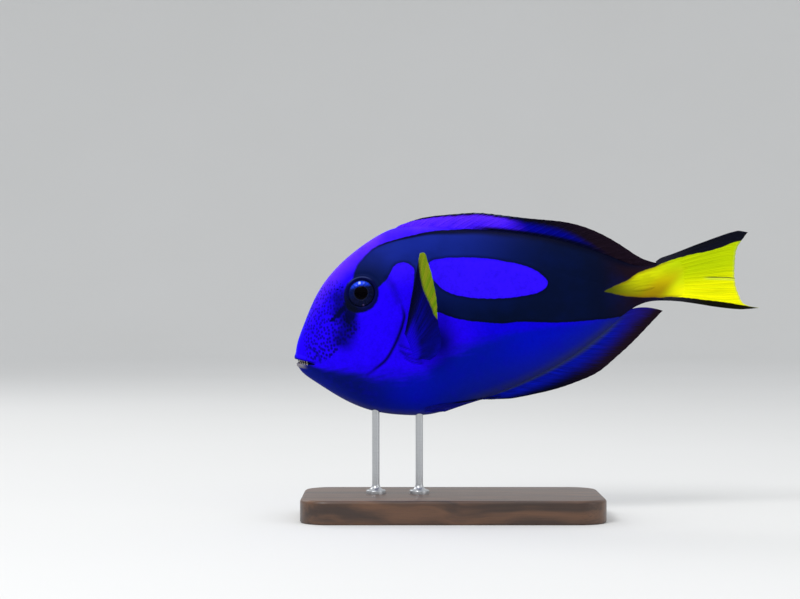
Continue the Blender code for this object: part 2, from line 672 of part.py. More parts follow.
def main():
    for obj in list(bpy.data.objects):
        bpy.data.objects.remove(obj)
    pose = make_pose()
    make_head(pose)
    make_torso(pose)
    make_tail(pose)
    midline_fin("dorsal_fin", DORSAL_RAYS, DORSAL_BASE, back_z, DORSAL_MARGIN, DORSAL_SWEEP, 1, pose,
                (0.05, 0.03, 0.5))
    midline_fin("anal_fin", ANAL_RAYS, ANAL_BASE, belly_z, ANAL_MARGIN, ANAL_SWEEP, -1, pose,
                (0.02, 0.03, 0.4))
    make_tail_fin(pose)
    for side, word in ((-1, "left"), (1, "right")):
        make_eye(side, f"eye_{word}", pose)
        make_pectoral_fin(side, f"pectoral_fin_{word}", pose)
        make_pelvic_fin(side, f"pelvic_fin_{word}", pose)
    make_stand(pose)


main()
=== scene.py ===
"""Looks of the regal blue tang: a painted skin, fins with branching rays, domed eyes and its stand.

Metres, +Z up. The fish is worked out in its own frame, as its solids are: x runs aft from the snout, y
points to its right side and z points up from the axis through the root of the tail. Places of markings
are in millimetres of that frame. Both sides carry the same markings.
"""

import math

import bmesh
import bpy
import numpy as np
from mathutils import Matrix, Vector


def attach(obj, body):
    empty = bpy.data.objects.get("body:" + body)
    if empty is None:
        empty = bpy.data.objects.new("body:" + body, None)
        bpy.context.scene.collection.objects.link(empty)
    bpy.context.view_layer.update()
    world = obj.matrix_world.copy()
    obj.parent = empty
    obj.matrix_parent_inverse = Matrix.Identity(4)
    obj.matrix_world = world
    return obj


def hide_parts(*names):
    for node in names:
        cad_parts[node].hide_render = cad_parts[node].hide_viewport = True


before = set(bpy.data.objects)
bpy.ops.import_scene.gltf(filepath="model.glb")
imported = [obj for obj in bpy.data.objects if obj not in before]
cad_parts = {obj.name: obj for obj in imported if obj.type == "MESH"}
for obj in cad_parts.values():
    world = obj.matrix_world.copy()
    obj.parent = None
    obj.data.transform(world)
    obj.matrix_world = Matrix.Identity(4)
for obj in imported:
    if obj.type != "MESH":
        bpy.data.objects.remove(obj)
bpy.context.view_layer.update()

MM = 1000

# The solids' sizes and outlines. The eye's place, the anal fin and the pelvic fins are fitted closer here.
BODY_LENGTH = 0.162
NOSE_DOWN_DEG = 10.0
BACK = (
    (0.0006, -0.0046), (0.0014, -0.0009), (0.0031, 0.0028), (0.0068, 0.0091),
    (0.0146, 0.0206), (0.0239, 0.0293), (0.0357, 0.0364), (0.0430, 0.0396),
    (0.0500, 0.0416), (0.0560, 0.0418), (0.0624, 0.0410), (0.0789, 0.0370),
    (0.0957, 0.0330), (0.1121, 0.0279), (0.1283, 0.0209), (0.1420, 0.0130),
    (0.1515, 0.0080), (0.1565, 0.0075), (0.1620, 0.0084),
)
BELLY = (
    (0.0006, -0.0078), (0.0014, -0.0109), (0.0030, -0.0132), (0.0066, -0.0168),
    (0.0122, -0.0220), (0.0179, -0.0268), (0.0297, -0.0338), (0.0421, -0.0376),
    (0.0480, -0.0387), (0.0530, -0.0391), (0.0600, -0.0386), (0.0700, -0.0372),
    (0.0780, -0.0361), (0.0860, -0.0346), (0.1016, -0.0306), (0.1200, -0.0238),
    (0.1354, -0.0155), (0.1450, -0.0099), (0.1536, -0.0080), (0.1620, -0.0092),
)
HALF_WIDTH = (
    (0.0006, 0.0014), (0.0014, 0.0027), (0.0030, 0.0035), (0.0068, 0.0049),
    (0.0146, 0.0074), (0.0239, 0.0096), (0.0357, 0.0117), (0.0478, 0.0130),
    (0.0624, 0.0132), (0.0789, 0.0122), (0.0957, 0.0104), (0.1121, 0.0083),
    (0.1283, 0.0059), (0.1420, 0.0040), (0.1520, 0.0029), (0.1620, 0.0021),
)
SNOUT_ROUNDNESS, FLANK_LEANNESS, LEAN_FROM = 0.50, 0.62, 0.025
GILL_EDGE = (
    (-0.0450, 0.0150), (-0.0360, 0.0166), (-0.0270, 0.0186), (-0.0210, 0.0226),
    (-0.0178, 0.0290), (-0.0152, 0.0335), (-0.0128, 0.0378), (-0.0093, 0.0412),
    (-0.0036, 0.0451), (0.0026, 0.0482), (0.0070, 0.0489), (0.0120, 0.0482),
    (0.0180, 0.0464), (0.0260, 0.0452), (0.0360, 0.0460), (0.0520, 0.0480),
)
GILL_RISE, GILL_REACH, GILL_TOP, GILL_BOTTOM = 0.0007, 0.006, 0.024, -0.020
GILL_GROOVE, GILL_FADE = 0.00030, 0.010
EYE_X, EYE_Z, EYE_RADIUS = 0.0330, 0.0168, 0.0056
EYE_DOME, EYE_DEPTH, EYE_PROUD, EYE_TILT, EYE_SIDES = 0.0019, 0.0040, 0.0001, 0.7, 96
SOCKET_GAP = 0.00012
ORBIT_RADIUS, ORBIT_TUBE, ORBIT_MOAT = 0.0066, 0.00075, 0.00022
MOUTH_CORNER, MOUTH_FRONT_Z = (0.0080, -0.0096), -0.0066
MOUTH_OPEN, MOUTH_DEPTH = 0.0015, 0.0016
UPPER_LIP, LOWER_LIP, LIP_TAPER, LIP_INSET = 0.0016, 0.0011, 0.65, 0.60
NOSTRILS = ((0.0232, 0.0202, 0.00042), (0.0252, 0.0207, 0.00052))  # (x, z, radius)
NOSTRIL_DEPTH, NOSTRIL_SIDES = 0.0009, 20
SCALPEL_AT, SCALPEL_SIZE = (0.1515, -0.0020), (0.0046, 0.0008, 0.0006)
LATERAL_DEPTH, LATERAL_WIDTH = 0.00012, 0.0006
BAND_RISE, BAND_SPACING = 0.000015, 0.0052
TEETH_IN_ROW, TEETH_TURN_DEG, TOOTH_SIDES = 13, 62, 8
TOOTH_PROFILE = ((0, 0.9), (0.45, 1.0), (0.75, 0.95), (0.93, 0.7), (1, 0.3))  # (share of its height, girth)
TOOTH_HALF, TOOTH_INSET, TOOTH_GAP = (0.00036, 0.00019), 0.0005, 0.00012
FLESH = (  # (rise, x, z, half length, half height) of the cheek's muscle, the hollow below the eye, the shoulder
    (0.0005, 0.037, -0.002, 0.008, 0.009), (-0.0004, 0.022, 0.004, 0.006, 0.008),
    (0.0003, 0.056, 0.012, 0.007, 0.014),
)

DORSAL_RAYS, DORSAL_SPINES = 28, 9
DORSAL_BASE = (0.0500, 0.1460)
DORSAL_MARGIN = (
    (0.0500, 0.0418), (0.0545, 0.0428), (0.0580, 0.0434), (0.0625, 0.0440),
    (0.0672, 0.0441), (0.0770, 0.0434), (0.0890, 0.0419), (0.0967, 0.0397),
    (0.1112, 0.0353), (0.1236, 0.0318), (0.1316, 0.0282), (0.1394, 0.0231),
    (0.1469, 0.0166), (0.1530, 0.0110), (0.1590, 0.0078),
)
DORSAL_SWEEP = (0.0045, 0.0150, 0.0130)
ANAL_RAYS, ANAL_SPINES = 22, 3
ANAL_BASE = (0.0716, 0.1408)
ANAL_MARGIN = (
    (0.0765, -0.0368), (0.0833, -0.0380), (0.0893, -0.0386), (0.0950, -0.0385),
    (0.1006, -0.0383), (0.1094, -0.0376), (0.1183, -0.0361), (0.1275, -0.0334),
    (0.1346, -0.0293), (0.1400, -0.0260), (0.1502, -0.0187), (0.1545, -0.0155),
    (0.1584, -0.0127),
)
ANAL_SWEEP = (0.0045, 0.0200, 0.0174)
FIN_ROOT_DEPTH, FIN_LEAN, FIN_WAVE = 0.0014, 0.0003, 0.00025
TAIL_RAYS, TAIL_ROOT_X = 17, 0.1620
TAIL_MARGIN = (
    (0.0139, 0.1999), (0.0114, 0.1973), (0.0084, 0.1946), (0.0039, 0.1927),
    (-0.0031, 0.1910), (-0.0087, 0.1907), (-0.0128, 0.1916), (-0.0161, 0.1932),
    (-0.0178, 0.1962), (-0.0188, 0.1992),
)
TAIL_BOW_TOP = (  # (share of the rays' length, how far the top ray bows up)
    (0.0, 0.0008), (0.054, 0.0016), (0.20, 0.0016), (0.43, 0.00207), (0.655, 0.0023), (0.80, 0.00235),
    (0.906, 0.0020), (1.0, 0.0),
)
TAIL_BOW_LOW = (
    (0.0, 0.0), (0.20, 0.0), (0.30, -0.0003), (0.40, -0.0006), (0.50, -0.0010), (0.60, -0.00125),
    (0.70, -0.0014), (0.80, -0.00135), (0.90, -0.0008), (1.0, 0.0),
)
PECTORAL_RAYS = 15
PECTORAL_ROOT = ((0.0478, -0.0040), (0.0500, -0.0140))
PECTORAL_TIPS = (
    (0.0598, 0.0286), (0.0614, 0.0289), (0.0624, 0.0258), (0.0630, 0.0216),
    (0.0634, 0.0151), (0.0634, 0.0085), (0.0626, 0.0015), (0.0625, -0.0030),
    (0.0627, -0.0071), (0.0616, -0.0115), (0.0592, -0.0144), (0.0565, -0.0157),
)
PECTORAL_OUT, PECTORAL_BOW = (0.0170, 0.0030), 0.0030
PELVIC_RAYS = 4
PELVIC_ROOT = ((0.0480, -0.0352), (0.0500, -0.0372))
PELVIC_TIPS = ((0.0835, -0.0368), (0.0770, -0.0365), (0.0690, -0.0375), (0.0590, -0.0391))
PELVIC_OUT, PELVIC_SINK = 0.0007, 0.0006
MEMBRANE, MEMBRANE_EDGE, RAY, RAY_TIP = 0.00026, 0.00016, 0.00030, 0.00012

SNOUT_X, SNOUT_Z = -0.0680, 0.0733
BASE_SIZE, BASE_CORNER, BASE_EDGE = (0.128, 0.060, 0.010), 0.012, 0.0015
ROD_RADIUS, ROD_STATIONS = 0.0016, (0.0300, 0.0480)
ROD_SIDES = 48
FOOT_RADIUS, FOOT_HEIGHT, FOOT_EDGE, ROD_SINK = 0.0042, 0.0030, 0.0004, 0.0022

# Fineness of the skin: where along the body, and how far apart its rings are there
RING_SPACING = ((0.0006, 0.00016), (0.0090, 0.00026), (0.0140, 0.00036), (0.0540, 0.00038),
                (0.0640, 0.00078), (0.1680, 0.00078))
RING_POINTS = 292
NOSE_RINGS, NOSE_CAP = 8, 0.0003
COVER_RINGS, TAIL_COVER = 13, 0.0100  # how far the skin runs out over the roots of the tail's rays

# Markings and lines of painted shade, as (x, z) in millimetres
MARK_UPPER = (
    (30.4, 22.8), (30.8, 25.2), (32.1, 27.5), (33.9, 29.7), (36.3, 31.6), (39.3, 33.9), (43.2, 35.6),
    (49.5, 36.7), (57.4, 37.3), (66.1, 37.7), (74.7, 36.9), (87.4, 35.4), (95.7, 34.0), (104.0, 32.3),
    (112.2, 29.5), (116.2, 27.8), (128.3, 22.6), (136.3, 18.6), (143.9, 13.5), (151.6, 11.0), (172.0, 11.0),
)
MARK_LOWER = (
    (172.0, -15.0), (146.0, -15.0), (139.3, -12.3), (135.5, -12.2), (129.5, -11.6), (121.6, -11.0),
    (110.8, -9.6), (97.3, -6.8), (89.6, -6.1), (80.1, -3.8), (72.5, -1.5), (67.6, 0.7), (63.4, 3.2),
    (58.6, 3.4), (54.4, -0.6), (51.4, -3.6), (49.0, -5.2),
)
MARK_THUMB = (
    (49.0, -5.2), (48.2, -3.6), (49.7, 1.4), (52.3, 8.7), (54.9, 16.1), (56.5, 22.6),
    (55.0, 25.2), (52.2, 26.6), (48.8, 25.9), (46.3, 23.0), (43.8, 20.2), (40.1, 17.8), (37.6, 15.4),
)
MARK_OVAL = (
    (63.9, 24.9), (68.3, 25.4), (76.8, 24.4), (85.2, 22.7), (93.4, 20.1), (101.5, 17.0), (107.4, 13.3),
    (110.9, 8.8), (110.4, 5.9), (105.8, 4.1), (97.0, 3.9), (86.4, 5.1), (76.0, 7.6), (68.0, 11.6),
    (64.1, 16.6), (62.6, 21.6),
)
WEDGE_UPPER = (
    (134.5, -0.3), (137.8, 0.8), (142.3, 1.9), (145.6, 2.8), (148.0, 4.0), (150.0, 4.8), (153.5, 5.5),
    (157.1, 6.0), (160.7, 6.9), (164.3, 7.6), (172.5, 8.6),
)
WEDGE_LOWER = (
    (172.5, -9.8), (164.5, -8.0), (161.5, -7.4), (158.0, -7.1), (154.9, -6.4), (151.5, -5.8), (145.4, -4.5),
    (141.3, -3.1), (138.0, -1.8), (134.5, -0.3),
)
TAIL_UPPER = (
    (0.1585, 0.0064), (0.1640, 0.0076), (0.1700, 0.0083), (0.1750, 0.0087), (0.1820, 0.0088), (0.1855, 0.0092),
    (0.1890, 0.0097), (0.1926, 0.0105), (0.1962, 0.0108), (0.2040, 0.0118),
)
TAIL_LOWER = (
    (0.1585, -0.0072), (0.1665, -0.0084), (0.1747, -0.0107), (0.1830, -0.0132), (0.1912, -0.0160),
    (0.2000, -0.0192),
)
TAIL_SLIT_START = 0.56  # share of the rays' length where the tail's pleat begins
TAIL_SLIT_AT = 9.05  # its place at the margin, counted in rays from the top
TAIL_SLIT_RISE = 2.0  # how many rays higher it would lie at the root
TAIL_SLIT_STEP = 0.00045  # how far its two sides are offset
# The slit behind the gill cover, painted dark as its shade
GILL_DARK = (
    (48.7, 8.6), (49.2, 5.0), (48.4, 2.2), (45.3, -3.6), (41.2, -9.3), (37.7, -13.0), (33.4, -15.5), (29.0, -17.8),
)
PREOPERCLE = ((44.4, 21.0), (46.2, 17.6), (46.9, 14.2), (47.6, 10.4))
EYE_BAR = ((26.6, 13.4), (23.6, 11.2), (20.4, 9.0), (18.6, 7.7))
EYE_PATCH = ((27.2, 10.5), (26.6, 8.2), (25.9, 5.6), (25.1, 2.6))
EYE_DUSK = ((24.0, 15.5), (23.2, 11.0), (25.0, 5.0), (22.0, -1.0))
EYE_DISC = (  # (degrees round the eye from aft by way of up, how far from its centre the dark skin reaches)
    (-180, 7.8), (-160, 8.2), (-140, 8.9), (-120, 8.8), (-100, 8.1), (-70, 7.7), (-40, 7.4), (-10, 7.2), (80, 7.2),
    (170, 7.6), (180, 7.8),
)
# Creases of the lip and of the pectoral fin's base: grooves in the skin, darkened with painted shade
LIP_FOLD = ((6.6, -1.9), (8.5, -3.5), (10.3, -5.6), (10.6, -9.1))
PECTORAL_FOLDS = (
    ((45.1, -7.8), (48.2, -9.6), (51.0, -11.0), (54.2, -11.2)),
    ((44.7, -9.9), (47.0, -11.6), (51.2, -12.8), (55.0, -12.6)),
    ((45.4, -10.9), (48.4, -13.6), (52.4, -14.8)),
    ((46.4, -13.4), (49.4, -15.6), (52.6, -16.6)),
)
GROOVES = (  # (lines, depth, width)
    (PECTORAL_FOLDS, 0.00042, 0.0005), ((LIP_FOLD,), 0.00022, 0.0005), ((PREOPERCLE,), 0.00025, 0.0011),
)
# The underside's painted shade: below this line the bright blue darkens, as the body turns away from the light above.
UNDERSIDE_SHADE_LINE = (  # (x, z where the bright blue ends, distance over which it darkens)
    (0.0, -6.4, 1.8), (5.0, -7.4, 2.6), (10.7, -9.0, 5.5), (20.0, -9.4, 10.0), (26.5, -9.9, 13.0),
    (31.0, -10.8, 16.0), (45.0, -12.5, 17.0), (54.5, -11.0, 18.0), (63.0, -8.0, 13.5), (75.0, -5.0, 14.5),
    (92.0, -6.4, 8.0), (105.0, -7.6, 6.5), (126.0, -9.6, 5.5), (131.0, -9.2, 5.0), (162.0, -10.0, 4.0),
)
SPECKLE_END = ((10.9, -11.0), (28.9, 1.6))  # the line at which the dots end, from low to high
DORSAL_BLUE = (  # (x, share of the fin's height that is blue)
    (0.0500, 1.05), (0.0580, 0.95), (0.0640, 0.84), (0.0750, 0.86), (0.0900, 0.86), (0.1000, 0.83), (0.1105, 0.79),
    (0.1200, 0.69), (0.1280, 0.51), (0.1350, 0.26), (0.1416, 0.02), (0.1470, -0.15), (0.1600, -0.50),
)
ANAL_BLUE = (
    (0.0760, 0.96), (0.0900, 0.90), (0.1050, 0.80), (0.1150, 0.70), (0.1250, 0.61), (0.1350, 0.60), (0.1450, 0.58),
    (0.1530, 0.52), (0.1600, 0.30),
)
PECTORAL_YELLOW = (
    (-0.0160, 0.0680), (-0.0080, 0.0668), (-0.0030, 0.0646), (0.0000, 0.0627), (0.0019, 0.0616),
    (0.0055, 0.0608), (0.0095, 0.0598), (0.0137, 0.0588), (0.0224, 0.0586), (0.0287, 0.0590), (0.0320, 0.0592),
)
# Painted highlights on the eye
EYE_GLINTS = (  # (colour, (aft, up) in shares of the eye's radius, reach, strength)
    ((190, 208, 255), (0.0, 0.77), 0.16, 0.85), ((150, 172, 250), (0.32, 0.70), 0.14, 0.25),
    ((130, 156, 240), (-0.30, 0.66), 0.14, 0.15), ((92, 72, 132), (0.0, -0.93), 0.10, 0.7),
)
ROYAL_BLUE, VIOLET, FIN_BLACK = (33, 1, 250), (100, 44, 252), (5, 6, 16)
BLUE_GLOSS = dict(Specular_IOR_Level=0.05, Specular_Tint=(0.18, 0.22, 1.0, 1.0))

# Stage
FLOOR_RADIUS, FLOOR_CURVE, FLOOR_SIDES = 2.2, 1.2, 96
CAMERA_PLACE, CAMERA_LENS, CAMERA_SENSOR = (-0.02225, -0.807, 0.09293), 85, 36
LIT_MIDDLE = (0.0, 0.0, 0.085)
LIGHTS = (  # (name, place, size, watts)
    ("key", (-0.50, -0.75, 0.95), (0.40, 0.40), 7), ("top", (0.05, 0.10, 1.20), (0.80, 0.50), 2.2),
    ("rim", (-0.75, 0.70, 0.75), (0.40, 0.60), 2.2), ("fill", (0.95, -0.55, 0.35), (0.50, 0.60), 1),
)


def rgb(red, green, blue):
    """Linear colour of an sRGB one from 0 to 255."""
    channels = [c / 255 for c in (red, green, blue)]
    return (*(c / 12.92 if c <= 0.04045 else ((c + 0.055) / 1.055) ** 2.4 for c in channels), 1.0)


def smooth_curve(points, root_start=False):
    """Natural cubic spline through (x, value). root_start spaces it by the root of x, for a blunt end."""
    xs, values = np.array(points).T

    def scale(x):
        return np.sqrt(x - xs[0]) if root_start else x

    knots = scale(xs)
    h = np.diff(knots)
    n = len(knots)
    matrix, rhs = np.eye(n), np.zeros(n)
    for i in range(1, n - 1):
        matrix[i, i - 1 : i + 2] = h[i - 1], 2 * (h[i - 1] + h[i]), h[i]
        rhs[i] = 6 * ((values[i + 1] - values[i]) / h[i] - (values[i] - values[i - 1]) / h[i - 1])
    bends = np.linalg.solve(matrix, rhs)

    def at(x):
        k = scale(np.clip(x, xs[0], xs[-1]))
        i = np.clip(np.searchsorted(knots, k) - 1, 0, n - 2)
        a, b = knots[i + 1] - k, k - knots[i]
        return (
            (bends[i] * a**3 + bends[i + 1] * b**3) / (6 * h[i])
            + (values[i] / h[i] - bends[i] * h[i] / 6) * a
            + (values[i + 1] / h[i] - bends[i + 1] * h[i] / 6) * b
        )

    return at


back_z = smooth_curve(BACK, root_start=True)
belly_z = smooth_curve(BELLY, root_start=True)
half_width = smooth_curve(HALF_WIDTH, root_start=True)
gill_x = smooth_curve(GILL_EDGE)


def ease(t):
    t = np.clip(t, 0, 1)
    return t * t * (3 - 2 * t)


def bell(t):
    return np.exp(-(t**2))


def within(t, start, rise, end, fall):
    """0 outside start and end and 1 inside, eased over the lengths rise and fall."""
    return ease((t - start) / rise) * ease((end - t) / fall)


def hill(x, z, at_x, at_z, length, height):
    """A soft round hill of height 1 over the side view."""
    return bell((x - at_x) / length) * bell((z - at_z) / height)


def xyz(x, y, z):
    """Points in a row from their three coordinates, each an array or one number for all."""
    return np.stack(np.broadcast_arrays(x, y, z), axis=1)


def middle_and_reach(x):
    """Height of the middle of the section at x, and how far the section reaches from there."""
    top, bottom = back_z(x), belly_z(x)
    return (top + bottom) / 2, (top - bottom) / 2


def leanness(x):
    return SNOUT_ROUNDNESS + (FLANK_LEANNESS - SNOUT_ROUNDNESS) * ease(x / LEAN_FROM)


def flank_y(x, z):
    """Distance of the skin from the midline at a point of the side view."""
    middle, reach = middle_and_reach(x)
    share = np.clip(1 - ((z - middle) / reach) ** 2, 0, 1)
    return half_width(x) * share ** leanness(x)


def rounded(points, closed=False, steps=8):
    """A smooth line through the points, which it passes, as an array of (x, z)."""
    p = np.array(points, float)
    before, after = (p[-1:], p[:2]) if closed else (2 * p[:1] - p[1:2], 2 * p[-1:] - p[-2:-1])
    p = np.concatenate([before, p, after])
    line = []
    for a, b, c, d in zip(p, p[1:], p[2:], p[3:]):
        for t in np.arange(steps) / steps:
            line.append(0.5 * (2 * b + (c - a) * t + (2 * a - 5 * b + 4 * c - d) * t**2
                               + (3 * b - a - 3 * c + d) * t**3))
    return np.array(line if closed else [*line, p[-2]])


def distance_to(line, x, z, closed=False):
    """Distance from points of the side view to a line of (x, z)."""
    ends = np.roll(line, -1, axis=0) if closed else line[1:]
    starts = line if closed else line[:-1]
    nearest = np.full(x.shape, np.inf)
    for (ax, az), (bx, bz) in zip(starts, ends):
        dx, dz = bx - ax, bz - az
        t = np.clip(((x - ax) * dx + (z - az) * dz) / max(dx * dx + dz * dz, 1e-12), 0, 1)
        nearest = np.minimum(nearest, (x - ax - t * dx) ** 2 + (z - az - t * dz) ** 2)
    return np.sqrt(nearest)


def near_line(points, x, z, width, scale=1):
    """1 on the smooth line through the points, each divided by scale, and less over the width beside it."""
    return bell(distance_to(rounded(points) / scale, x, z) / width)


def inside_by(outline, x, z):
    """How far points of the side view lie inside a closed outline, negative outside it."""
    inside = np.zeros(x.shape, bool)
    for (ax, az), (bx, bz) in zip(outline, np.roll(outline, -1, axis=0)):
        crosses = (az > z) != (bz > z)
        inside ^= crosses & (x < ax + (z - az) / (bz - az if bz != az else 1e-12) * (bx - ax))
    return np.where(inside, 1, -1) * distance_to(outline, x, z, closed=True)


# The fish's frame in the stand's, nose down
POSE = Matrix.Translation((SNOUT_X, 0, SNOUT_Z)) @ Matrix.Rotation(math.radians(-NOSE_DOWN_DEG), 4, "Y")


# Meshes


def new_piece(name, verts, faces, place=POSE):
    mesh = bpy.data.meshes.new(name)
    mesh.from_pydata([tuple(v) for v in verts], [], [tuple(f) for f in faces])
    piece = bpy.data.objects.new(name, mesh)
    bpy.context.scene.collection.objects.link(piece)
    piece.matrix_world = place
    return piece


def face_outwards(piece):
    bm = bmesh.new()
    bm.from_mesh(piece.data)
    bmesh.ops.recalc_face_normals(bm, faces=bm.faces)
    bm.to_mesh(piece.data)
    bm.free()


def ring_faces(rings, count, first=0):
    """Quads between rings of count points each, whose points are numbered from first on."""
    here = first + np.arange(rings * count).reshape(rings, count)
    beside = np.roll(here, -1, axis=1)
    return np.stack([here[:-1], beside[:-1], beside[1:], here[1:]], axis=2).reshape(-1, 4).tolist()


def loft(name, rings, place=POSE):
    """Closed skin through rings of as many points each, capped at both ends."""
    count = len(rings[0])
    verts = [p for ring in rings for p in ring]
    caps = [range(count), range(len(verts) - count, len(verts))]
    piece = new_piece(name, verts, caps + ring_faces(len(rings), count), place)
    face_outwards(piece)
    return piece


def circle(radius, height, sides):
    angles = [2 * math.pi * j / sides for j in range(sides)]
    return [Vector((radius * math.cos(a), radius * math.sin(a), height)) for a in angles]


def turned(name, profile, sides, turn_place, place=POSE):
    """A profile of (radius, height) turned about z, then moved by the matrix turn_place."""
    rings = [[turn_place @ point for point in circle(radius, height, sides)] for radius, height in profile]
    return loft(name, rings, place)


def points_of(piece):
    count = len(piece.data.vertices)
    flat = np.empty(count * 3)
    piece.data.vertices.foreach_get("co", flat)
    return flat.reshape(count, 3)


def set_values(piece, **values):
    """Stores a number for each vertex under each name, for the materials to read."""
    for name, numbers in values.items():
        attribute = piece.data.attributes.new(name, "FLOAT", "POINT")
        attribute.data.foreach_set("value", np.asarray(numbers, np.float32))


def smooth_shade(piece, material, sharp_deg=None):
    piece.data.materials.clear()
    piece.data.materials.append(material)
    piece.data.shade_smooth()
    if sharp_deg is not None:
        piece.data.set_sharp_from_angle(angle=math.radians(sharp_deg))


def cut(piece, cutters):
    """Takes the closed pieces in cutters out of piece."""
    group = bpy.data.collections.new("cutters")
    bpy.context.scene.collection.children.link(group)
    for cutter in cutters:
        group.objects.link(cutter)
    modifier = piece.modifiers.new("cut", "BOOLEAN")
    modifier.operation = "DIFFERENCE"
    modifier.operand_type = "COLLECTION"
    modifier.collection = group
    modifier.solver = "MANIFOLD"
    bpy.context.view_layer.update()
    mesh = bpy.data.meshes.new_from_object(piece.evaluated_get(bpy.context.evaluated_depsgraph_get()))
    piece.modifiers.clear()
    piece.data = mesh
    for cutter in cutters:
        bpy.data.objects.remove(cutter)
    bpy.data.collections.remove(group)


def skin_matrix(x, z, side, tilt=1.0):
    """Frame on the skin at a point of the side view, z out of it and x aft. tilt below 1 squares it to the side."""
    step = 0.0005
    slope_x = (flank_y(x + step, z) - flank_y(x - step, z)) / (2 * step) * tilt
    slope_z = (flank_y(x, z + step) - flank_y(x, z - step)) / (2 * step) * tilt
    out = Vector((-slope_x, side, -slope_z)).normalized()
    aft = Vector((1, 0, 0))
    aft = (aft - out * aft.dot(out)).normalized()
    up = out.cross(aft)
    axes = Matrix((aft, up, out)).transposed().to_4x4()
    return Matrix.Translation((x, side * float(flank_y(x, z)), z)) @ axes


def eye_place(side):
    """The eye's frame."""
    return skin_matrix(EYE_X, EYE_Z, side, EYE_TILT)


# Skin


def ring_stations():
    """Where the skin's rings lie along the body, as close as RING_SPACING asks."""
    at, spacing = np.array(RING_SPACING).T
    fine = np.linspace(BACK[0][0], BODY_LENGTH, 4000)
    passed = np.r_[0, np.cumsum(np.diff(fine) / np.interp(fine[1:], at, spacing))]
    return np.interp(np.arange(int(passed[-1]) + 1) * passed[-1] / int(passed[-1]), passed, fine)


def half_ring(x):
    """One side of the section at x, from back to belly, as (y, z), a little closer at back and belly than even."""
    middle, reach = middle_and_reach(x)

    def at(turn):
        return half_width(x) * np.sin(turn).clip(0) ** (2 * leanness(x)), middle + reach * np.cos(turn)

    turn = np.linspace(0, math.pi, 500)
    y, z = at(turn)
    walked = np.r_[0, np.cumsum(np.hypot(np.diff(y), np.diff(z)))]
    share = np.linspace(0, 1, RING_POINTS // 2 + 1)
    even = np.interp(share * walked[-1], walked, turn)
    return at(0.7 * even + 0.3 * share * math.pi)


def whole_ring(x, y, z):
    """Both sides of a section, from half of it: down the right side, then up the left."""
    right = xyz(x, y, z)
    return np.concatenate([right, right[-2:0:-1] * (1, -1, 1)])


def skin_grid():
    """The bare body's points, as rings of points: nose cap, trunk and the cover of the tail's roots."""
    start = BACK[0][0]
    y, z = half_ring(start)
    middle = (z[0] + z[-1]) / 2
    rings = []
    for share in np.sin(np.linspace(0.02, 1, NOSE_RINGS + 1)[:-1] * math.pi / 2):
        rings.append(whole_ring(start - NOSE_CAP * (1 - share**2), y * share, middle + (z - middle) * share))
    rings += [whole_ring(x, *half_ring(x)) for x in ring_stations()]
    y, z = half_ring(BODY_LENGTH)
    middle = (z[0] + z[-1]) / 2
    for share in np.linspace(0, 1, COVER_RINGS + 1)[1:]:
        thin = 1 - 0.97 * ease(share) ** 0.8
        rings.append(whole_ring(BODY_LENGTH + TAIL_COVER * share, y * thin, middle + (z - middle) * (1 - 0.1 * share)))
    return np.array(rings)


def grid_normals(grid):
    """Outward unit normals of rings of points."""
    along = np.gradient(grid, axis=0)
    around = np.roll(grid, -1, axis=1) - np.roll(grid, 1, axis=1)
    normal = np.cross(around, along)
    normal /= np.maximum(np.linalg.norm(normal, axis=2, keepdims=True), 1e-12)
    from_middle = grid - grid.mean(axis=1, keepdims=True)
    outward = np.sign((normal * from_middle).sum(axis=(1, 2)))[:, None, None]
    normal *= np.where(outward == 0, 1, outward)
    normal[0] = (-1, 0, 0)
    return normal


def to_corner(x, most=1):
    """Share of the way from the snout's tip to the mouth's corner."""
    return np.clip(x / MOUTH_CORNER[0], 0, most)


def mouth_z(x):
    """Height of the middle of the mouth's slit."""
    return MOUTH_FRONT_Z + (MOUTH_CORNER[1] - MOUTH_FRONT_Z) * to_corner(x)


def mouth_gap(x):
    """Half the height of the mouth's slit."""
    return MOUTH_OPEN / 2 * np.sqrt(1 - to_corner(x) ** 2)


def lip_rise(above, x, radius):
    """How far a lip stands out of the skin, at a height above the middle of the mouth's slit."""
    taper = to_corner(x, 1.15)
    radius = radius * (1 - LIP_TAPER * taper**2)
    off = (above - mouth_gap(x) - radius * 0.7) / radius
    rise = radius * (1 - LIP_INSET) * 1.1 * np.clip(1 - (off / 1.05) ** 2, 0, 1) ** 1.3
    return rise * ease((1.12 - taper) / 0.2)


def mouth_relief(x, z):
    """Lips that stand out and the slit between them that sinks in."""
    above = z - mouth_z(x)
    rise = np.where(above > 0, lip_rise(above, x, UPPER_LIP), lip_rise(-above, x, LOWER_LIP))
    slit = ease((mouth_gap(x) + 0.00018 - np.abs(above)) / 0.00026) * ease((1.06 - x / MOUTH_CORNER[0]) / 0.10)
    return rise * (1 - slit) - MOUTH_DEPTH * (1 - 0.6 * to_corner(x)) * slit


def gill_distance(x, z):
    """Distance ahead of the gill cover's edge, negative behind it."""
    zs = np.linspace(GILL_EDGE[0][0], GILL_EDGE[-1][0], 90)
    line = xyz(gill_x(zs), 0.0, zs)[:, ::2]
    return np.where(x < gill_x(np.clip(z, zs[0], zs[-1])), 1, -1) * distance_to(line, x, z)


def gill_relief(x, z):
    """The gill cover, highest at its edge, and the groove behind it."""
    ahead = gill_distance(x, z)
    cover = GILL_RISE * np.exp(-np.maximum(ahead, 0) / GILL_REACH) * ease((ahead + 0.0002) / 0.0007)
    groove = -GILL_GROOVE * bell((ahead + 0.0006) / 0.0005)
    return (cover + groove) * within(z, GILL_BOTTOM, GILL_FADE, GILL_TOP, GILL_FADE)


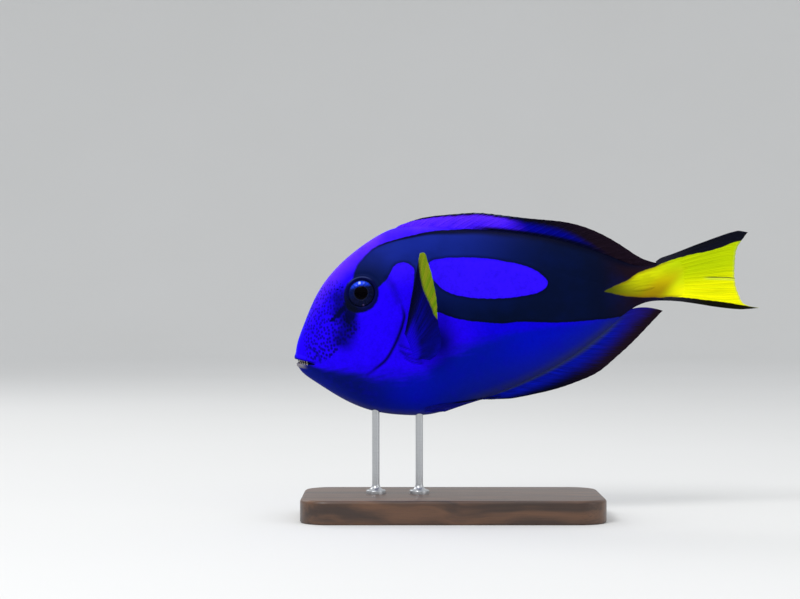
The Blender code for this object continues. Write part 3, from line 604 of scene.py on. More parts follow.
def eye_distance(x, z):
    """Distance from the eye's centre, over the skin rather than in the side view."""
    out = eye_place(1).to_3x3() @ Vector((0, 0, 1))
    dx, dz = x - EYE_X, z - EYE_Z
    dy = -(out.x * dx + out.z * dz) / out.y
    return np.sqrt(dx**2 + dy**2 + dz**2)


def orbit_relief(x, z):
    """The raised ring round the eye and the shallow moat round that."""
    past_ring = eye_distance(x, z) - ORBIT_RADIUS
    return ORBIT_TUBE * 0.75 * bell(past_ring / 0.0006) - ORBIT_MOAT * bell((past_ring - 0.0016) / 0.0007)


def scalpel_relief(x, z):
    """The blade folded into its sheath on the tail's root."""
    length, height, rise = SCALPEL_SIZE
    along, across = (x - SCALPEL_AT[0]) / length, (z - SCALPEL_AT[1]) / height
    spread = along**2 + across**2
    blade = rise * np.sqrt(np.clip(1 - spread, 0, 1)) * (0.75 + 0.25 * along)
    near = (along / 1.15) ** 2 + (across / 1.9) ** 2
    sheath = -0.00018 * np.clip(1 - near, 0, 1) ** 0.5 * (spread > 1)
    return blade + sheath


def flesh_relief(x, z):
    """Broad soft forms under the skin and the faint bands of the flank's muscle."""
    forms = sum(rise * hill(x, z, *form) for rise, *form in FLESH)
    bands = BAND_RISE * np.sin((x + np.abs(z - 0.002) * 0.55) * 2 * math.pi / BAND_SPACING)
    return forms + bands * within(x, 0.060, 0.02, 0.150, 0.02)


def lateral_relief(x, z):
    """The lateral line's groove, which follows the back and drops to the axis of the tail's root."""
    top, bottom = back_z(x), belly_z(x)
    line_z = bottom + (top - bottom) * (0.80 - 0.26 * ease((x - 0.100) / 0.045))
    return -LATERAL_DEPTH * bell((z - line_z) / LATERAL_WIDTH) * within(x, 0.046, 0.004, 0.157, 0.01)


def all_relief(x, z):
    """Everything that stands out of the bare body or sinks into it."""
    relief = mouth_relief(x, z) + gill_relief(x, z) + orbit_relief(x, z)
    for lines, depth, width in GROOVES:
        relief -= sum(depth * near_line(points, x, z, width, MM) for points in lines)
    return relief + scalpel_relief(x, z) + flesh_relief(x, z) + lateral_relief(x, z)


def violet_at(x, z):
    """Where light from above turns the blue to violet: near the upper outline, less on the snout."""
    back, fin_top = back_z(x), smooth_curve(DORSAL_MARGIN)(x)
    top = np.where(x > DORSAL_MARGIN[0][0], np.maximum(fin_top, back), back)
    return ease(1 - (top - z) / 0.0095) * within(x, 0.004, 0.020, 0.118, 0.03)


def round_eye(mm_x, mm_z):
    """Direction from the eye's centre in degrees, 0 aft and 90 up."""
    return np.degrees(np.arctan2(mm_z - EYE_Z * MM, mm_x - EYE_X * MM))


def eye_smudge(mm_x, mm_z):
    """The olive-black bar and patch that run out of the dark skin round the eye, from 0 to 1."""
    bar = near_line(EYE_BAR, mm_x, mm_z, 0.7 + 0.17 * np.clip(mm_x - 19, 0, 12))
    patch = near_line(EYE_PATCH, mm_x, mm_z, 1.8 + 0.26 * np.clip(mm_z - 2.6, 0, 7))
    return np.maximum(bar, patch * (0.45 + 0.55 * ease((mm_z - 3.0) / 5)))


def speckle_size(mm_x, mm_z):
    """How large the snout's dots are, 0 where there are none."""
    (ax, az), (bx, bz) = SPECKLE_END
    inside = ((bx - ax) * (mm_z - az) - (bz - az) * (mm_x - ax)) / math.hypot(bx - ax, bz - az)
    size = 0.40 + 0.60 * np.exp(-np.maximum(inside, 0) / 11)
    on = ease((inside + 0.4) / 1.2) * within(mm_z, -9.5, 3, 28.5, 10) * ease((mm_x - 3.5) / 4)
    return size * on * ease((27.5 - mm_x) / 4 + ease((9 - mm_z) / 6))


def paint_skin(skin):
    """Stores where the markings lie, in millimetres inside their outlines, and how strong each shade is, painted
    shade, shadow and light among them.
    """
    x, y, z = points_of(skin).T
    mm_x, mm_z = x * MM, z * MM
    away, turn = eye_distance(x, z) * MM, round_eye(mm_x, mm_z)
    above_mouth, above_belly = z - mouth_z(x), z - belly_z(x)

    def near(points, width):
        return near_line(points, mm_x, mm_z, width)

    def inside(*lines, closed=False):
        return inside_by(np.concatenate([rounded(line, closed) for line in lines]), mm_x, mm_z)

    in_oval = inside(MARK_OVAL, closed=True)
    # Painted shade in the recesses: the mouth's slit and the gap round each eye
    lining = ease((mouth_gap(x) + 0.0002 - np.abs(above_mouth)) / 0.0003)
    lining *= ease((MOUTH_CORNER[0] + 0.0006 - x) / 0.0006)
    socket = np.clip((flank_y(x, z) - np.abs(y)) * MM - 0.5, 0, 1) * (away < 8)
    # painted shade in the slit behind the gill cover and along the preopercle's groove
    gill_line = near(GILL_DARK, 0.62) * (0.35 + 0.65 * ease((mm_x - 29) / 7)) * (1 - 0.6 * ease((mm_z - 4.0) / 4))
    floor_x, floor_z, fade = np.array(UNDERSIDE_SHADE_LINE).T
    set_values(
        skin,
        along=mm_x,
        height=mm_z,
        across=mm_x + np.abs(y) * MM,
        mark=np.minimum(inside(MARK_UPPER, MARK_LOWER, MARK_THUMB), -in_oval),
        top_edge=distance_to(rounded(MARK_UPPER), mm_x, mm_z),
        oval=in_oval,
        wedge=inside(WEDGE_UPPER, WEDGE_LOWER),
        orbit=away,
        disc=np.interp(turn, *np.array(EYE_DISC).T) - away,
        olive=bell((turn + 130) / 60),
        smudge=eye_smudge(mm_x, mm_z),
        dusk=near(EYE_DUSK, 5.1),
        speckle=speckle_size(mm_x, mm_z),
        gill_line=np.maximum(gill_line, 0.35 * near(PREOPERCLE, 1.6)),
        # painted shade in the creases of the lip and of the pectoral fin's base
        folds=np.max([near(points, 0.45) for points in (*PECTORAL_FOLDS, LIP_FOLD)], axis=0),
        shadow=np.maximum(
            hill(mm_x, mm_z, 62.5, -9.5, 6.2, 6.8),
            0.45 * hill(mm_x, mm_z, 45.6, -5.5, 2.4, 5.0),
        ),
        lining=np.maximum(lining, socket),
        # painted shade on the underside of the upper lip
        upper_lip=within(above_mouth, 0.0002, 0.0004, 0.0019, 0.0012) * ease((0.0100 - x) / 0.003),
        lower_lip=within(-above_mouth, 0.0002, 0.0005, 0.0030, 0.0008) * ease((0.0050 - x) / 0.003),
        # painted shade of the underside, which faces away from the light above
        deep=ease((np.interp(mm_x, floor_x, floor_z) - mm_z) / np.interp(mm_x, floor_x, fade)),
        keel=ease(1 - above_belly / (0.008 + 0.008 * ease((x - 0.050) / 0.025))),
        haze=ease(1 - above_belly / 0.005) * within(x, 0.063, 0.012, 0.142, 0.012),
        brim=ease(1 - above_belly / 0.0032) * within(x, 0.012, 0.010, 0.070, 0.020),
        violet=violet_at(x, z),
    )


def make_skin():
    """One skin over head, torso and tail, with its relief, eye sockets and nostrils."""
    grid = skin_grid()
    grid = grid + grid_normals(grid) * all_relief(grid[:, :, 0], grid[:, :, 2])[:, :, None]
    rings, count, _ = grid.shape
    verts, faces = grid.reshape(-1, 3).tolist(), ring_faces(rings, count)
    for end in (0, rings - 1):
        faces += [(end * count + j, end * count + (j + 1) % count, len(verts)) for j in range(count)]
        verts.append(grid[end].mean(axis=0))
    skin = new_piece("skin", verts, faces)
    face_outwards(skin)
    cutters = []
    for side in (-1, 1):
        well = [(EYE_RADIUS + SOCKET_GAP, height) for height in (-EYE_DEPTH - 0.0003, 0.004)]
        cutters.append(turned("socket", well, EYE_SIDES, eye_place(side)))
        for at_x, at_z, radius in NOSTRILS:
            pit = ((radius * 0.55, -NOSTRIL_DEPTH), (radius * 0.9, -NOSTRIL_DEPTH * 0.4), (radius, 0.001))
            cutters.append(turned("nostril", pit, NOSTRIL_SIDES, skin_matrix(at_x, at_z, side)))
    cut(skin, cutters)
    paint_skin(skin)
    smooth_shade(skin, skin_material(), sharp_deg=70)
    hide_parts("head", "torso", "tail")
    return skin


def make_teeth():
    """Two rows of small blunt teeth behind the lips."""
    verts, faces = [], []
    start, (end, low) = BACK[0][0], MOUTH_CORNER
    corners = [2 * math.pi * k / TOOTH_SIDES for k in range(TOOTH_SIDES)]
    for sign in (-1, 1):
        for turn in np.radians(np.linspace(-TEETH_TURN_DEG, TEETH_TURN_DEG, TEETH_IN_ROW)):
            x = start + (end - start) * (1 - math.cos(turn)) + TOOTH_INSET * math.cos(turn)
            y = (flank_y(end, low) - TOOTH_INSET) * math.sin(turn)
            along, inward = Vector((math.sin(turn), math.cos(turn), 0)), Vector((math.cos(turn), -math.sin(turn), 0))
            root = MOUTH_OPEN / 2 * math.cos(turn) + 0.0006
            first = len(verts)
            for share, girth in TOOTH_PROFILE:
                centre = Vector((x, y, mouth_z(x) + sign * (root + (TOOTH_GAP - root) * share)))
                for a in corners:
                    across, deep = TOOTH_HALF[0] * math.cos(a), TOOTH_HALF[1] * math.sin(a)
                    verts.append(centre + (along * across + inward * deep) * girth)
            faces += ring_faces(len(TOOTH_PROFILE), TOOTH_SIDES, first)
            faces += [range(first, first + TOOTH_SIDES), range(len(verts) - TOOTH_SIDES, len(verts))]
    teeth = new_piece("teeth", verts, faces)
    face_outwards(teeth)
    smooth_shade(teeth, tooth_material(), sharp_deg=60)
    return teeth


# Eyes


def make_eye(side, word):
    """A domed eye, grooved round the pupil and inside its rim."""
    profile = [(EYE_RADIUS * 0.9, -EYE_DEPTH), (EYE_RADIUS, -EYE_DEPTH * 0.85)]
    for a in np.radians(np.linspace(0, 90, 46))[:-1]:
        share = math.cos(a)
        grooves = 0.00022 * bell((share - 0.53) / 0.035) + 0.00010 * bell((share - 0.90) / 0.03)
        profile.append((EYE_RADIUS * share, float(EYE_PROUD + EYE_DOME * math.sin(a) - grooves)))
    place = eye_place(side)
    eye = turned(f"eye_{word}_ball", profile, EYE_SIDES, place)
    aft, up, _ = np.array([place.inverted() @ Vector(p) for p in points_of(eye)]).T / EYE_RADIUS
    # up is turned so that the painted highlights lie on top of both eyes
    set_values(eye, radius=np.hypot(aft, up), aft=aft, up=-side * up)
    smooth_shade(eye, EYE_MATERIAL, sharp_deg=60)
    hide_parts(f"eye_{word}")
    return eye


# Fins


def ridge_at(place, share, spines, width):
    """How strongly a ray stands out at places counted in rays, from 0 to 1. Soft rays branch twice."""
    nearest = np.round(place)
    off = np.abs(place - nearest)
    soft = (nearest >= spines).astype(float)
    first = 0.17 * ease((share - 0.30) / 0.45) * soft
    second = 0.075 * ease((share - 0.62) / 0.35) * soft
    slim = width * (1 - 0.35 * share) * (1 - 0.35 * ease((share - 0.3) / 0.3) * soft)
    ridge = bell((off - first - second) / slim)
    return np.maximum(ridge, bell((off - np.abs(first - second)) / slim))


def vane(name, grid, half):
    """A closed fin from a grid of points, columns along it and rows from root to margin, and its half thickness."""
    across, along = np.gradient(grid, axis=0), np.gradient(grid, axis=1)
    normal = np.cross(across, along)
    normal /= np.linalg.norm(normal, axis=2)[:, :, None]
    columns, rows, _ = grid.shape
    front, behind = grid + normal * half[:, :, None], grid - normal * half[:, :, None]
    index, shift = np.arange(columns * rows).reshape(columns, rows), columns * rows
    quads = np.stack([index[:-1, :-1], index[1:, :-1], index[1:, 1:], index[:-1, 1:]], axis=2).reshape(-1, 4)
    border = [*index[:, 0], *index[-1, 1:], *index[-2::-1, -1], *index[0, -2:0:-1]]
    faces = [*quads.tolist(), *(quads[:, ::-1] + shift).tolist()]
    faces += [(p, q, q + shift, p + shift) for p, q in zip(border, border[1:] + border[:1])]
    piece = new_piece(name, [*front.reshape(-1, 3), *behind.reshape(-1, 3)], faces)
    face_outwards(piece)
    return piece


def arch(at, share):
    """How much of its bow a ray has at a share of its length. at is the ray's place along the fin."""
    return 4 * share * (1 - share) + 0 * at


def fin(name, roots, tips, rays, columns, rows, spines=0, notch=lambda place: 0.0002, bow=None, profile=arch,
        swell=0.0, width=0.13, ray=RAY, ray_start=0.02, shape=None):
    """A fin whose roots and tips are given as functions of the share of the way along its base.

    columns is counted for each ray. notch is how far the margin draws in between rays, bow a vector by which
    a ray bends, profile how much of it a ray has along its length, swell the root's thickening, width, ray
    and ray_start the rays' breadth, height and start, and shape a last change to the grid of points.
    """
    place = np.linspace(0, rays - 1, (rays - 1) * columns + 1)
    share_along = place / (rays - 1)
    root, tip = roots(share_along), tips(share_along)
    length = np.linalg.norm(tip - root, axis=1)
    recess = np.abs(np.sin(math.pi * place)) ** 0.8 * notch(place)
    tip = tip - (tip - root) * (recess / length)[:, None]
    share = np.linspace(0, 1, rows)
    grid = root[:, None] * (1 - share)[None, :, None] + tip[:, None] * share[None, :, None]
    if bow is not None:
        grid = grid + bow(share_along)[:, None] * profile(share_along[:, None], share[None])[:, :, None]
    ridge = ridge_at(place[:, None], share[None], spines, width)
    half = MEMBRANE + (MEMBRANE_EDGE - MEMBRANE) * share[None]
    lift = (ray + (RAY_TIP - ray) * share) * ease((share - ray_start) / max(ray_start * 3, 0.02))
    half = half + lift[None] * ridge + swell * (1 - ease(share / 0.3))[None]
    half = half * (1 - 0.35 * ease((share - 0.93) / 0.07))[None]
    if shape is not None:
        grid = shape(grid, place[:, None], share[None])
    piece = vane(name, grid, half)

    def on_both_faces(values):
        return np.tile(np.broadcast_to(values, half.shape).reshape(-1), 2)

    set_values(
        piece, ridge=on_both_faces(ridge), out=on_both_faces(share[None]), place=on_both_faces(place[:, None]),
        from_edge=on_both_faces((1 - share)[None] * length[:, None] * MM),
    )
    return piece


def sweep_at(sweep, share):
    """Blends the sweep of the first ray into the middle's, and that into the last's."""
    first, middle, last = sweep
    opening = first + (middle - first) * ease(share / 0.25)
    return opening + (last - middle) * ease((share - 0.5) / 0.5)


def midline_fin(name, rays, spines, base, root_z, margin, sweep, sign, notch, last_bow, blue):
    """The dorsal fin (sign 1) or the anal fin (sign -1). blue is the share of the height that is blue."""
    margin_z = smooth_curve(margin)

    def base_x(share):
        return base[0] + (base[1] - base[0]) * share

    def roots(share):
        x = base_x(share)
        return xyz(x, 0.0, root_z(x) - sign * FIN_ROOT_DEPTH)

    def tips(share):
        x = base_x(share) + sweep_at(sweep, share)
        return xyz(x, 0.0, margin_z(x))

    def bow(share):
        return xyz(-FIN_LEAN, 0.0, FIN_LEAN * sign + last_bow * ease((share - 0.84) / 0.16))

    def shape(grid, place, share):
        grid[:, :, 1] += FIN_WAVE * share**2 * np.sin(place * 0.9) * ease(place / 4)
        return grid

    piece = fin(
        name, roots, tips, rays, columns=14, rows=30, spines=spines, notch=notch, bow=bow, swell=0.00045, shape=shape
    )
    x, _, z = points_of(piece).T
    up = sign * (z - root_z(x)) / np.maximum(sign * (margin_z(x) - root_z(x)), 0.0008)
    set_values(piece, border=up - np.interp(x, *np.array(blue).T), along=x * MM, up=up)
    return piece


def make_dorsal_fin():
    piece = midline_fin(
        "dorsal_fin_rays", DORSAL_RAYS, DORSAL_SPINES, DORSAL_BASE, back_z, DORSAL_MARGIN, DORSAL_SWEEP, sign=1,
        notch=lambda place: 0.00012 + 0.00022 * bell((place - 7.4) / 2.4), last_bow=-0.0017, blue=DORSAL_BLUE,
    )
    x, _, z = points_of(piece).T
    set_values(piece, violet=violet_at(x, z))
    smooth_shade(piece, dorsal_material())
    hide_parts("dorsal_fin")
    return piece


def make_anal_fin():
    piece = midline_fin(
        "anal_fin_rays", ANAL_RAYS, ANAL_SPINES, ANAL_BASE, belly_z, ANAL_MARGIN, ANAL_SWEEP, sign=-1,
        notch=lambda place: 0.00015, last_bow=0.0023, blue=ANAL_BLUE,
    )
    smooth_shade(piece, anal_material())
    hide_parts("anal_fin")
    return piece


def make_tail_fin():
    margin_x = smooth_curve(TAIL_MARGIN[::-1])
    top, bottom = back_z(BODY_LENGTH) - 0.0002, belly_z(BODY_LENGTH) + 0.0002

    def roots(share):
        return xyz(TAIL_ROOT_X - 0.0030, 0.0, (top + (bottom - top) * share) * 0.93)

    def tips(share):
        z = TAIL_MARGIN[0][0] + (TAIL_MARGIN[-1][0] - TAIL_MARGIN[0][0]) * share
        return xyz(margin_x(z), 0.0, z)

    def bow(share):
        return xyz(0 * share, 0.0, 1.0)

    def lift(at, share):
        upper, lower = (np.interp(share, *np.array(rise).T) for rise in (TAIL_BOW_TOP, TAIL_BOW_LOW))
        return upper * (1 - at) ** 2 + lower * at**2

    def shape(grid, place, share):
        past = place - TAIL_SLIT_AT + TAIL_SLIT_RISE * (1 - share)
        fade = np.exp(-np.abs(past) / 2.5)
        grid[:, :, 1] -= TAIL_SLIT_STEP * np.tanh(past / 0.08) * fade * ease((share - TAIL_SLIT_START) / 0.2)
        grid[:, :, 1] += 0.0009 * share**2 * np.sin(place * 0.42 + 0.6)
        return grid

    piece = fin(
        "tail_fin_rays", roots, tips, TAIL_RAYS, columns=16, rows=50, notch=lambda place: 0.00018, bow=bow,
        profile=lift, swell=0.0008, width=0.17, ray=0.00024, ray_start=0.12, shape=shape,
    )
    x, _, z = points_of(piece).T
    above, below = z - smooth_curve(TAIL_UPPER)(x), smooth_curve(TAIL_LOWER)(x) - z
    set_values(piece, border=np.maximum(above, below) * MM, along=x * MM, height=z * MM)
    smooth_shade(piece, tail_material())
    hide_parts("tail_fin")
    return piece


def blend(ends, share):
    """Points at shares of the way between two points of the side view."""
    first, last = np.array(ends)
    return (first + (last - first) * share[:, None]).T


def spread(points, share):
    """Points at shares of the way along a smooth curve through points of the side view."""
    line = np.array(points, float)
    steps = np.r_[0, np.cumsum(np.linalg.norm(np.diff(line, axis=0), axis=1))]
    return [smooth_curve(list(zip(steps, line[:, i])))(share * steps[-1]) for i in range(2)]


def make_pectoral_fin(side, word):
    """A pectoral fin swept up and out from the skin."""

    def roots(share):
        x, z = blend(PECTORAL_ROOT, share)
        return xyz(x, side * (flank_y(x, z) - FIN_ROOT_DEPTH), z)

    def tips(share):
        out = PECTORAL_OUT[0] + (PECTORAL_OUT[1] - PECTORAL_OUT[0]) * share
        x, z = spread(PECTORAL_TIPS, share)
        return xyz(x, side * (flank_y(*blend(PECTORAL_ROOT, share)) + out), z)

    def bow(share):
        return xyz(0.0, side * PECTORAL_BOW * (1 - 0.4 * share), 0.0)

    piece = fin(
        f"pectoral_fin_{word}_rays", roots, tips, PECTORAL_RAYS, columns=12, rows=44, bow=bow,
        swell=0.0005, width=0.16, ray=0.00017,
    )
    x, _, z = points_of(piece).T
    set_values(piece, yellow=(x - smooth_curve(PECTORAL_YELLOW)(z)) * MM)
    smooth_shade(piece, PECTORAL_MATERIAL)
    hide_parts(f"pectoral_fin_{word}")
    return piece


def make_pelvic_fin(side, word):
    """A pelvic fin laid along the belly, close to the flank's slope."""

    def roots(share):
        x, z = blend(PELVIC_ROOT, share)
        return xyz(x, 0.0, z)

    def tips(share):
        tip_x, tip_z = np.array(PELVIC_TIPS).T
        rays = np.arange(PELVIC_RAYS) / (PELVIC_RAYS - 1)
        return xyz(np.interp(share, rays, tip_x), 0.0, np.interp(share, rays, tip_z))

    def shape(grid, place, share):
        y = np.maximum(flank_y(grid[:, :, 0], grid[:, :, 2]), PELVIC_SINK * ease(share))
        grid[:, :, 1] = side * (y - PELVIC_SINK + (PELVIC_OUT + PELVIC_SINK) * ease(share / 0.3))
        return grid

    piece = fin(
        f"pelvic_fin_{word}_rays", roots, tips, PELVIC_RAYS, columns=14, rows=40,
        width=0.16, ray=0.00022, shape=shape,
    )
    smooth_shade(piece, PELVIC_MATERIAL)
    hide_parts(f"pelvic_fin_{word}")
    return piece


# Stand


def make_base():
    width, depth, height = BASE_SIZE
    turns = np.radians(np.linspace(0, 90, 7))
    profile = [(BASE_EDGE * (1 - math.sin(a)) * 0.5, BASE_EDGE * 0.5 * (1 - math.cos(a))) for a in turns]
    profile.append((0.0, height - BASE_EDGE))
    profile += [(BASE_EDGE * (1 - math.cos(a)), height - BASE_EDGE * (1 - math.sin(a))) for a in turns[1:]]
    rings = []
    for inset, z in profile:
        reach, ring = BASE_CORNER - inset, []
        for sx, sy, start in ((1, 1, 0), (-1, 1, 90), (-1, -1, 180), (1, -1, 270)):
            x, y = sx * (width / 2 - BASE_CORNER), sy * (depth / 2 - BASE_CORNER)
            corner = np.radians(start + np.linspace(0, 90, 25))
            ring += [(x + reach * math.cos(a), y + reach * math.sin(a), z) for a in corner]
        rings.append(ring)
    base = loft("stand_base_block", rings, Matrix.Identity(4))
    smooth_shade(base, wood_material(), sharp_deg=40)
    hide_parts("stand_base")
    return base


def make_rod(word, station):
    """A rod on a round foot, up into the belly at the station along the body."""
    floor = BASE_SIZE[2]
    top = POSE @ Vector((station, 0, float(belly_z(station))))
    flare = FOOT_RADIUS * 0.9 - ROD_RADIUS
    profile = [(FOOT_RADIUS, floor)]
    for a in np.radians(np.linspace(0, 90, 6)):
        profile.append((
            FOOT_RADIUS - FOOT_EDGE * (1 - math.cos(a)),
            floor + FOOT_HEIGHT * 0.42 + FOOT_EDGE * math.sin(a),
        ))
    for a in np.radians(np.linspace(0, 90, 8)):
        profile.append((
            ROD_RADIUS + flare * (1 - math.sin(a)),
            floor + FOOT_HEIGHT * 1.4 - FOOT_HEIGHT * 0.82 * math.cos(a),
        ))
    profile.append((ROD_RADIUS, top.z + ROD_SINK))
    rod = turned(f"stand_rod_{word}_steel", profile, ROD_SIDES, Matrix.Translation((top.x, 0, 0)), Matrix.Identity(4))
    smooth_shade(rod, STEEL_MATERIAL, sharp_deg=40)
    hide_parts(f"stand_rod_{word}")
    return rod


# Materials


class Value:
    """A number or vector that a node gives out. Arithmetic on it adds nodes."""

    def __init__(self, shader, socket):
        self.shader, self.socket = shader, socket

    def __add__(self, other):
        return self.shader.math("ADD", self, other)

    def __sub__(self, other):
        return self.shader.math("SUBTRACT", self, other)

    def __mul__(self, other):
        return self.shader.math("MULTIPLY", self, other)

    def __truediv__(self, other):
        return self.shader.math("DIVIDE", self, other)

    def __abs__(self):
        return self.shader.math("ABSOLUTE", self)

    def ramp(self, low, high):
        """0 below low and 1 above high, or the other way round where low is the higher."""
        inputs = {"Value": self, "From Min": low, "From Max": high, "To Min": 0.0, "To Max": 1.0}
        return self.shader.node("ShaderNodeMapRange", 0, inputs, interpolation_type="SMOOTHSTEP")


class Shader:
    """A material's node graph, with short calls for the nodes that it uses."""

    def __init__(self, name, **settings):
        self.material = bpy.data.materials.new(name)
        self.material.use_nodes = True
        self.tree = self.material.node_tree
        self.surface = self.tree.nodes["Principled BSDF"].inputs
        self.spot = self.node("ShaderNodeTexCoord", "Object")
        for socket, value in settings.items():
            self.put(self.surface[socket.replace("_", " ")], value)

    def put(self, socket, value):
        """Links a Value to a socket, or stores a number, a vector or an sRGB colour of three in it."""
        if isinstance(value, Value):
            self.tree.links.new(value.socket, socket)
        else:
            socket.default_value = rgb(*value) if socket.type == "RGBA" and len(value) == 3 else value

    def node(self, kind, output, inputs=(), **settings):
        """Adds a node and gives one of its outputs."""
        node = self.tree.nodes.new(kind)
        for name, value in settings.items():
            setattr(node, name, value)
        for name, value in dict(inputs).items():
            self.put(node.inputs[name], value)
        return Value(self, node.outputs[output])

    def values(self, *names):
        """The numbers stored at the vertices under these names."""
        return [self.node("ShaderNodeAttribute", "Fac", attribute_name=name) for name in names]

    def __getitem__(self, name):
        return self.values(name)[0]

    def math(self, operation, *values):
        return self.node("ShaderNodeMath", 0, dict(enumerate(values)), operation=operation)

    def paint(self, ground, *coats):
        """A colour with coats over it. A coat is a colour and then how much of it, as factors to be multiplied."""
        for colour, share, *factors in coats:
            for factor in factors:
                share = share * factor
            ground = self.node("ShaderNodeMix", 2, {0: share, 6: ground, 7: colour}, data_type="RGBA")
        return ground

    def flat(self, u, v, w=0.0):
        return self.node("ShaderNodeCombineXYZ", 0, {0: u, 1: v, 2: w})

    def scaled(self, x, y, z, source=None):
        return self.node("ShaderNodeMapping", 0, {"Vector": source or self.spot, "Scale": (x, y, z)})

    def noise(self, scale, detail=2.0, roughness=0.5, vector=None):
        inputs = {"Vector": vector or self.spot, "Scale": scale, "Detail": detail, "Roughness": roughness}
        return self.node("ShaderNodeTexNoise", "Fac", inputs)

    def waver(self, amount, *noise):
        """Noise that wavers about 0."""
        return (self.noise(*noise) - 0.5) * amount

    def cells(self, scale, vector, randomness, dimensions="3D"):
        inputs = {"Vector": vector, "Scale": scale, "Randomness": randomness}
        return self.node("ShaderNodeTexVoronoi", "Distance", inputs, voronoi_dimensions=dimensions)

    def bump(self, height, strength, depth, under=None):
        inputs = {"Height": height, "Strength": strength, "Distance": depth}
        if under is not None:
            inputs["Normal"] = under
        return self.node("ShaderNodeBump", 0, inputs)

    def finish(self, colour, roughness=None, normal=None):
        for name, value in (("Base Color", colour), ("Roughness", roughness), ("Normal", normal)):
            if value is not None:
                self.put(self.surface[name], value)
        return self.material


def yellow_paint(s, along, height, streak):
    """Yellow of the tail and its root: pure below, greener above, amber where the fin is hinged. The darker green
    above and the amber are painted shade.
    """
    wedge = s.paint(
        (146, 132, 1),
        ((208, 214, 2), height.ramp(-5.5, 3.5)),
        ((150, 154, 1), streak.ramp(0.60, 0.35), 0.35),
    )
    amber = s.paint((160, 132, 1), ((196, 172, 1), height.ramp(-5, 1)))
    hinge = along + height * -1.2
    return s.paint(
        (255, 252, 4),
        # painted shade on the fin's upper half, turned from the light
        ((184, 206, 2), height.ramp(-8.5, 3)),
        ((206, 228, 8), streak.ramp(0.42, 0.72), 0.40),
        (wedge, along.ramp(168, 154)),
        # painted shade where the fin bends from its root
        (amber, hinge.ramp(152, 160), hinge.ramp(170, 163), height.ramp(6.5, -2), 0.85),
        ((80, 86, 6), along.ramp(153, 136)),
    )


def skin_blue(s, along, height, cloud, fine, over_side):
    """The blue of head, back and flank, with its shades and the head's dots, smudges and folds. Its shades include
    painted violet light on top, painted shade on the underside, in the creases and under the upper lip, and the
    pectoral fin's painted shadow.
    """
    # The flank's darker blues are painted shade of the underside, mixed in below the line where the bright blue ends.
    flank = s.paint(
        (5, 16, 96),
        ((3, 16, 168), along.ramp(24, 48)),
        ((3, 18, 154), along.ramp(48, 62)),
        ((2, 14, 184), along.ramp(78, 102)),
    )
    wisps = s.waver(0.75, 1.0, 4, 0.6, s.scaled(0.11, 0.62, 1.0, over_side))
    underside_shade = s["deep"] + (cloud - 0.5) * 0.30 + wisps
    dusk = s["dusk"] + s.waver(0.7, 380, 4, 0.6)
    size = s["speckle"]
    cells = s.cells(0.60, s.flat(s["across"], height), 0.75, "2D") + (fine - 0.5) * 0.25
    dots = (cells - (size * 0.26 + 0.13)).ramp(0.23, -0.17) * (size.ramp(0.02, 0.30) * (size * 0.45 + 0.45))
    stain = s["smudge"] + s.waver(0.7, 520, 4, 0.6) + dots * 0.25
    return s.paint(
        ROYAL_BLUE,
        (VIOLET, s["violet"], 0.9),
        ((52, 18, 254), s["oval"].ramp(-1, 1), 0.8),
        ((56, 18, 254), height.ramp(14, 24), along.ramp(62, 56), along.ramp(42, 48), 0.7),
        # darker blue on the lower flank: partly the fish's own colour, partly painted shade of the lower half
        ((7, 2, 210), along.ramp(68, 86), height.ramp(2, -2), 0.85),
        (flank, underside_shade.ramp(0.10, 0.92)),
        ((16, 30, 132), s["keel"], 0.75),
        ((40, 46, 84), s["haze"], 0.75),
        ((58, 62, 104), s["brim"], 0.75),
        ((2, 0, 120), fine.ramp(0.35, 0.75), 0.18),
        ((12, 2, 176), s.noise(240, 4, 0.6).ramp(0.45, 0.75), 0.25),
        ((2, 6, 96), s["shadow"], 0.86),
        ((2, 3, 92), dusk.ramp(0, 1), 0.84),
        ((7, 3, 84), dots),
        ((3, 6, 44), stain.ramp(0.15, 0.85), 0.92),
        # painted shade in the creases
        ((6, 4, 112), s["folds"], 0.70),
        # painted shade under the upper lip
        ((4, 4, 76), s["upper_lip"], 0.80),
    )


def skin_navy(s, along, height, cloud, mark, orbit):
    """The dark mark: bluer towards the back with a painted sheen of light from above, brown at the tail and darkest
    along its edges.
    """
    edge_width = along.ramp(48, 84) * 2.0 + along.ramp(82, 100) * 1.6 + 0.9
    edge = (s["top_edge"] / edge_width).ramp(1.15, 0.45)
    return s.paint(
        (3, 12, 33),
        # painted sheen of light from above
        ((19, 36, 134), height.ramp(-6, 36)),
        ((6, 15, 42), along.ramp(62, 122)),
        ((10, 12, 28), along.ramp(124, 146)),
        ((28, 15, 20), along.ramp(133, 149), 0.85),
        ((6, 16, 46), orbit.ramp(21, 8), 0.85),
        ((6, 20, 72), cloud.ramp(0.4, 0.7), 0.38),
        ((3, 6, 26), mark.ramp(1.7, 0.1), along.ramp(40, 54) * 0.35 + 0.20),
        ((3, 5, 24), edge, along.ramp(36, 47) * 0.67 + 0.25),
    )


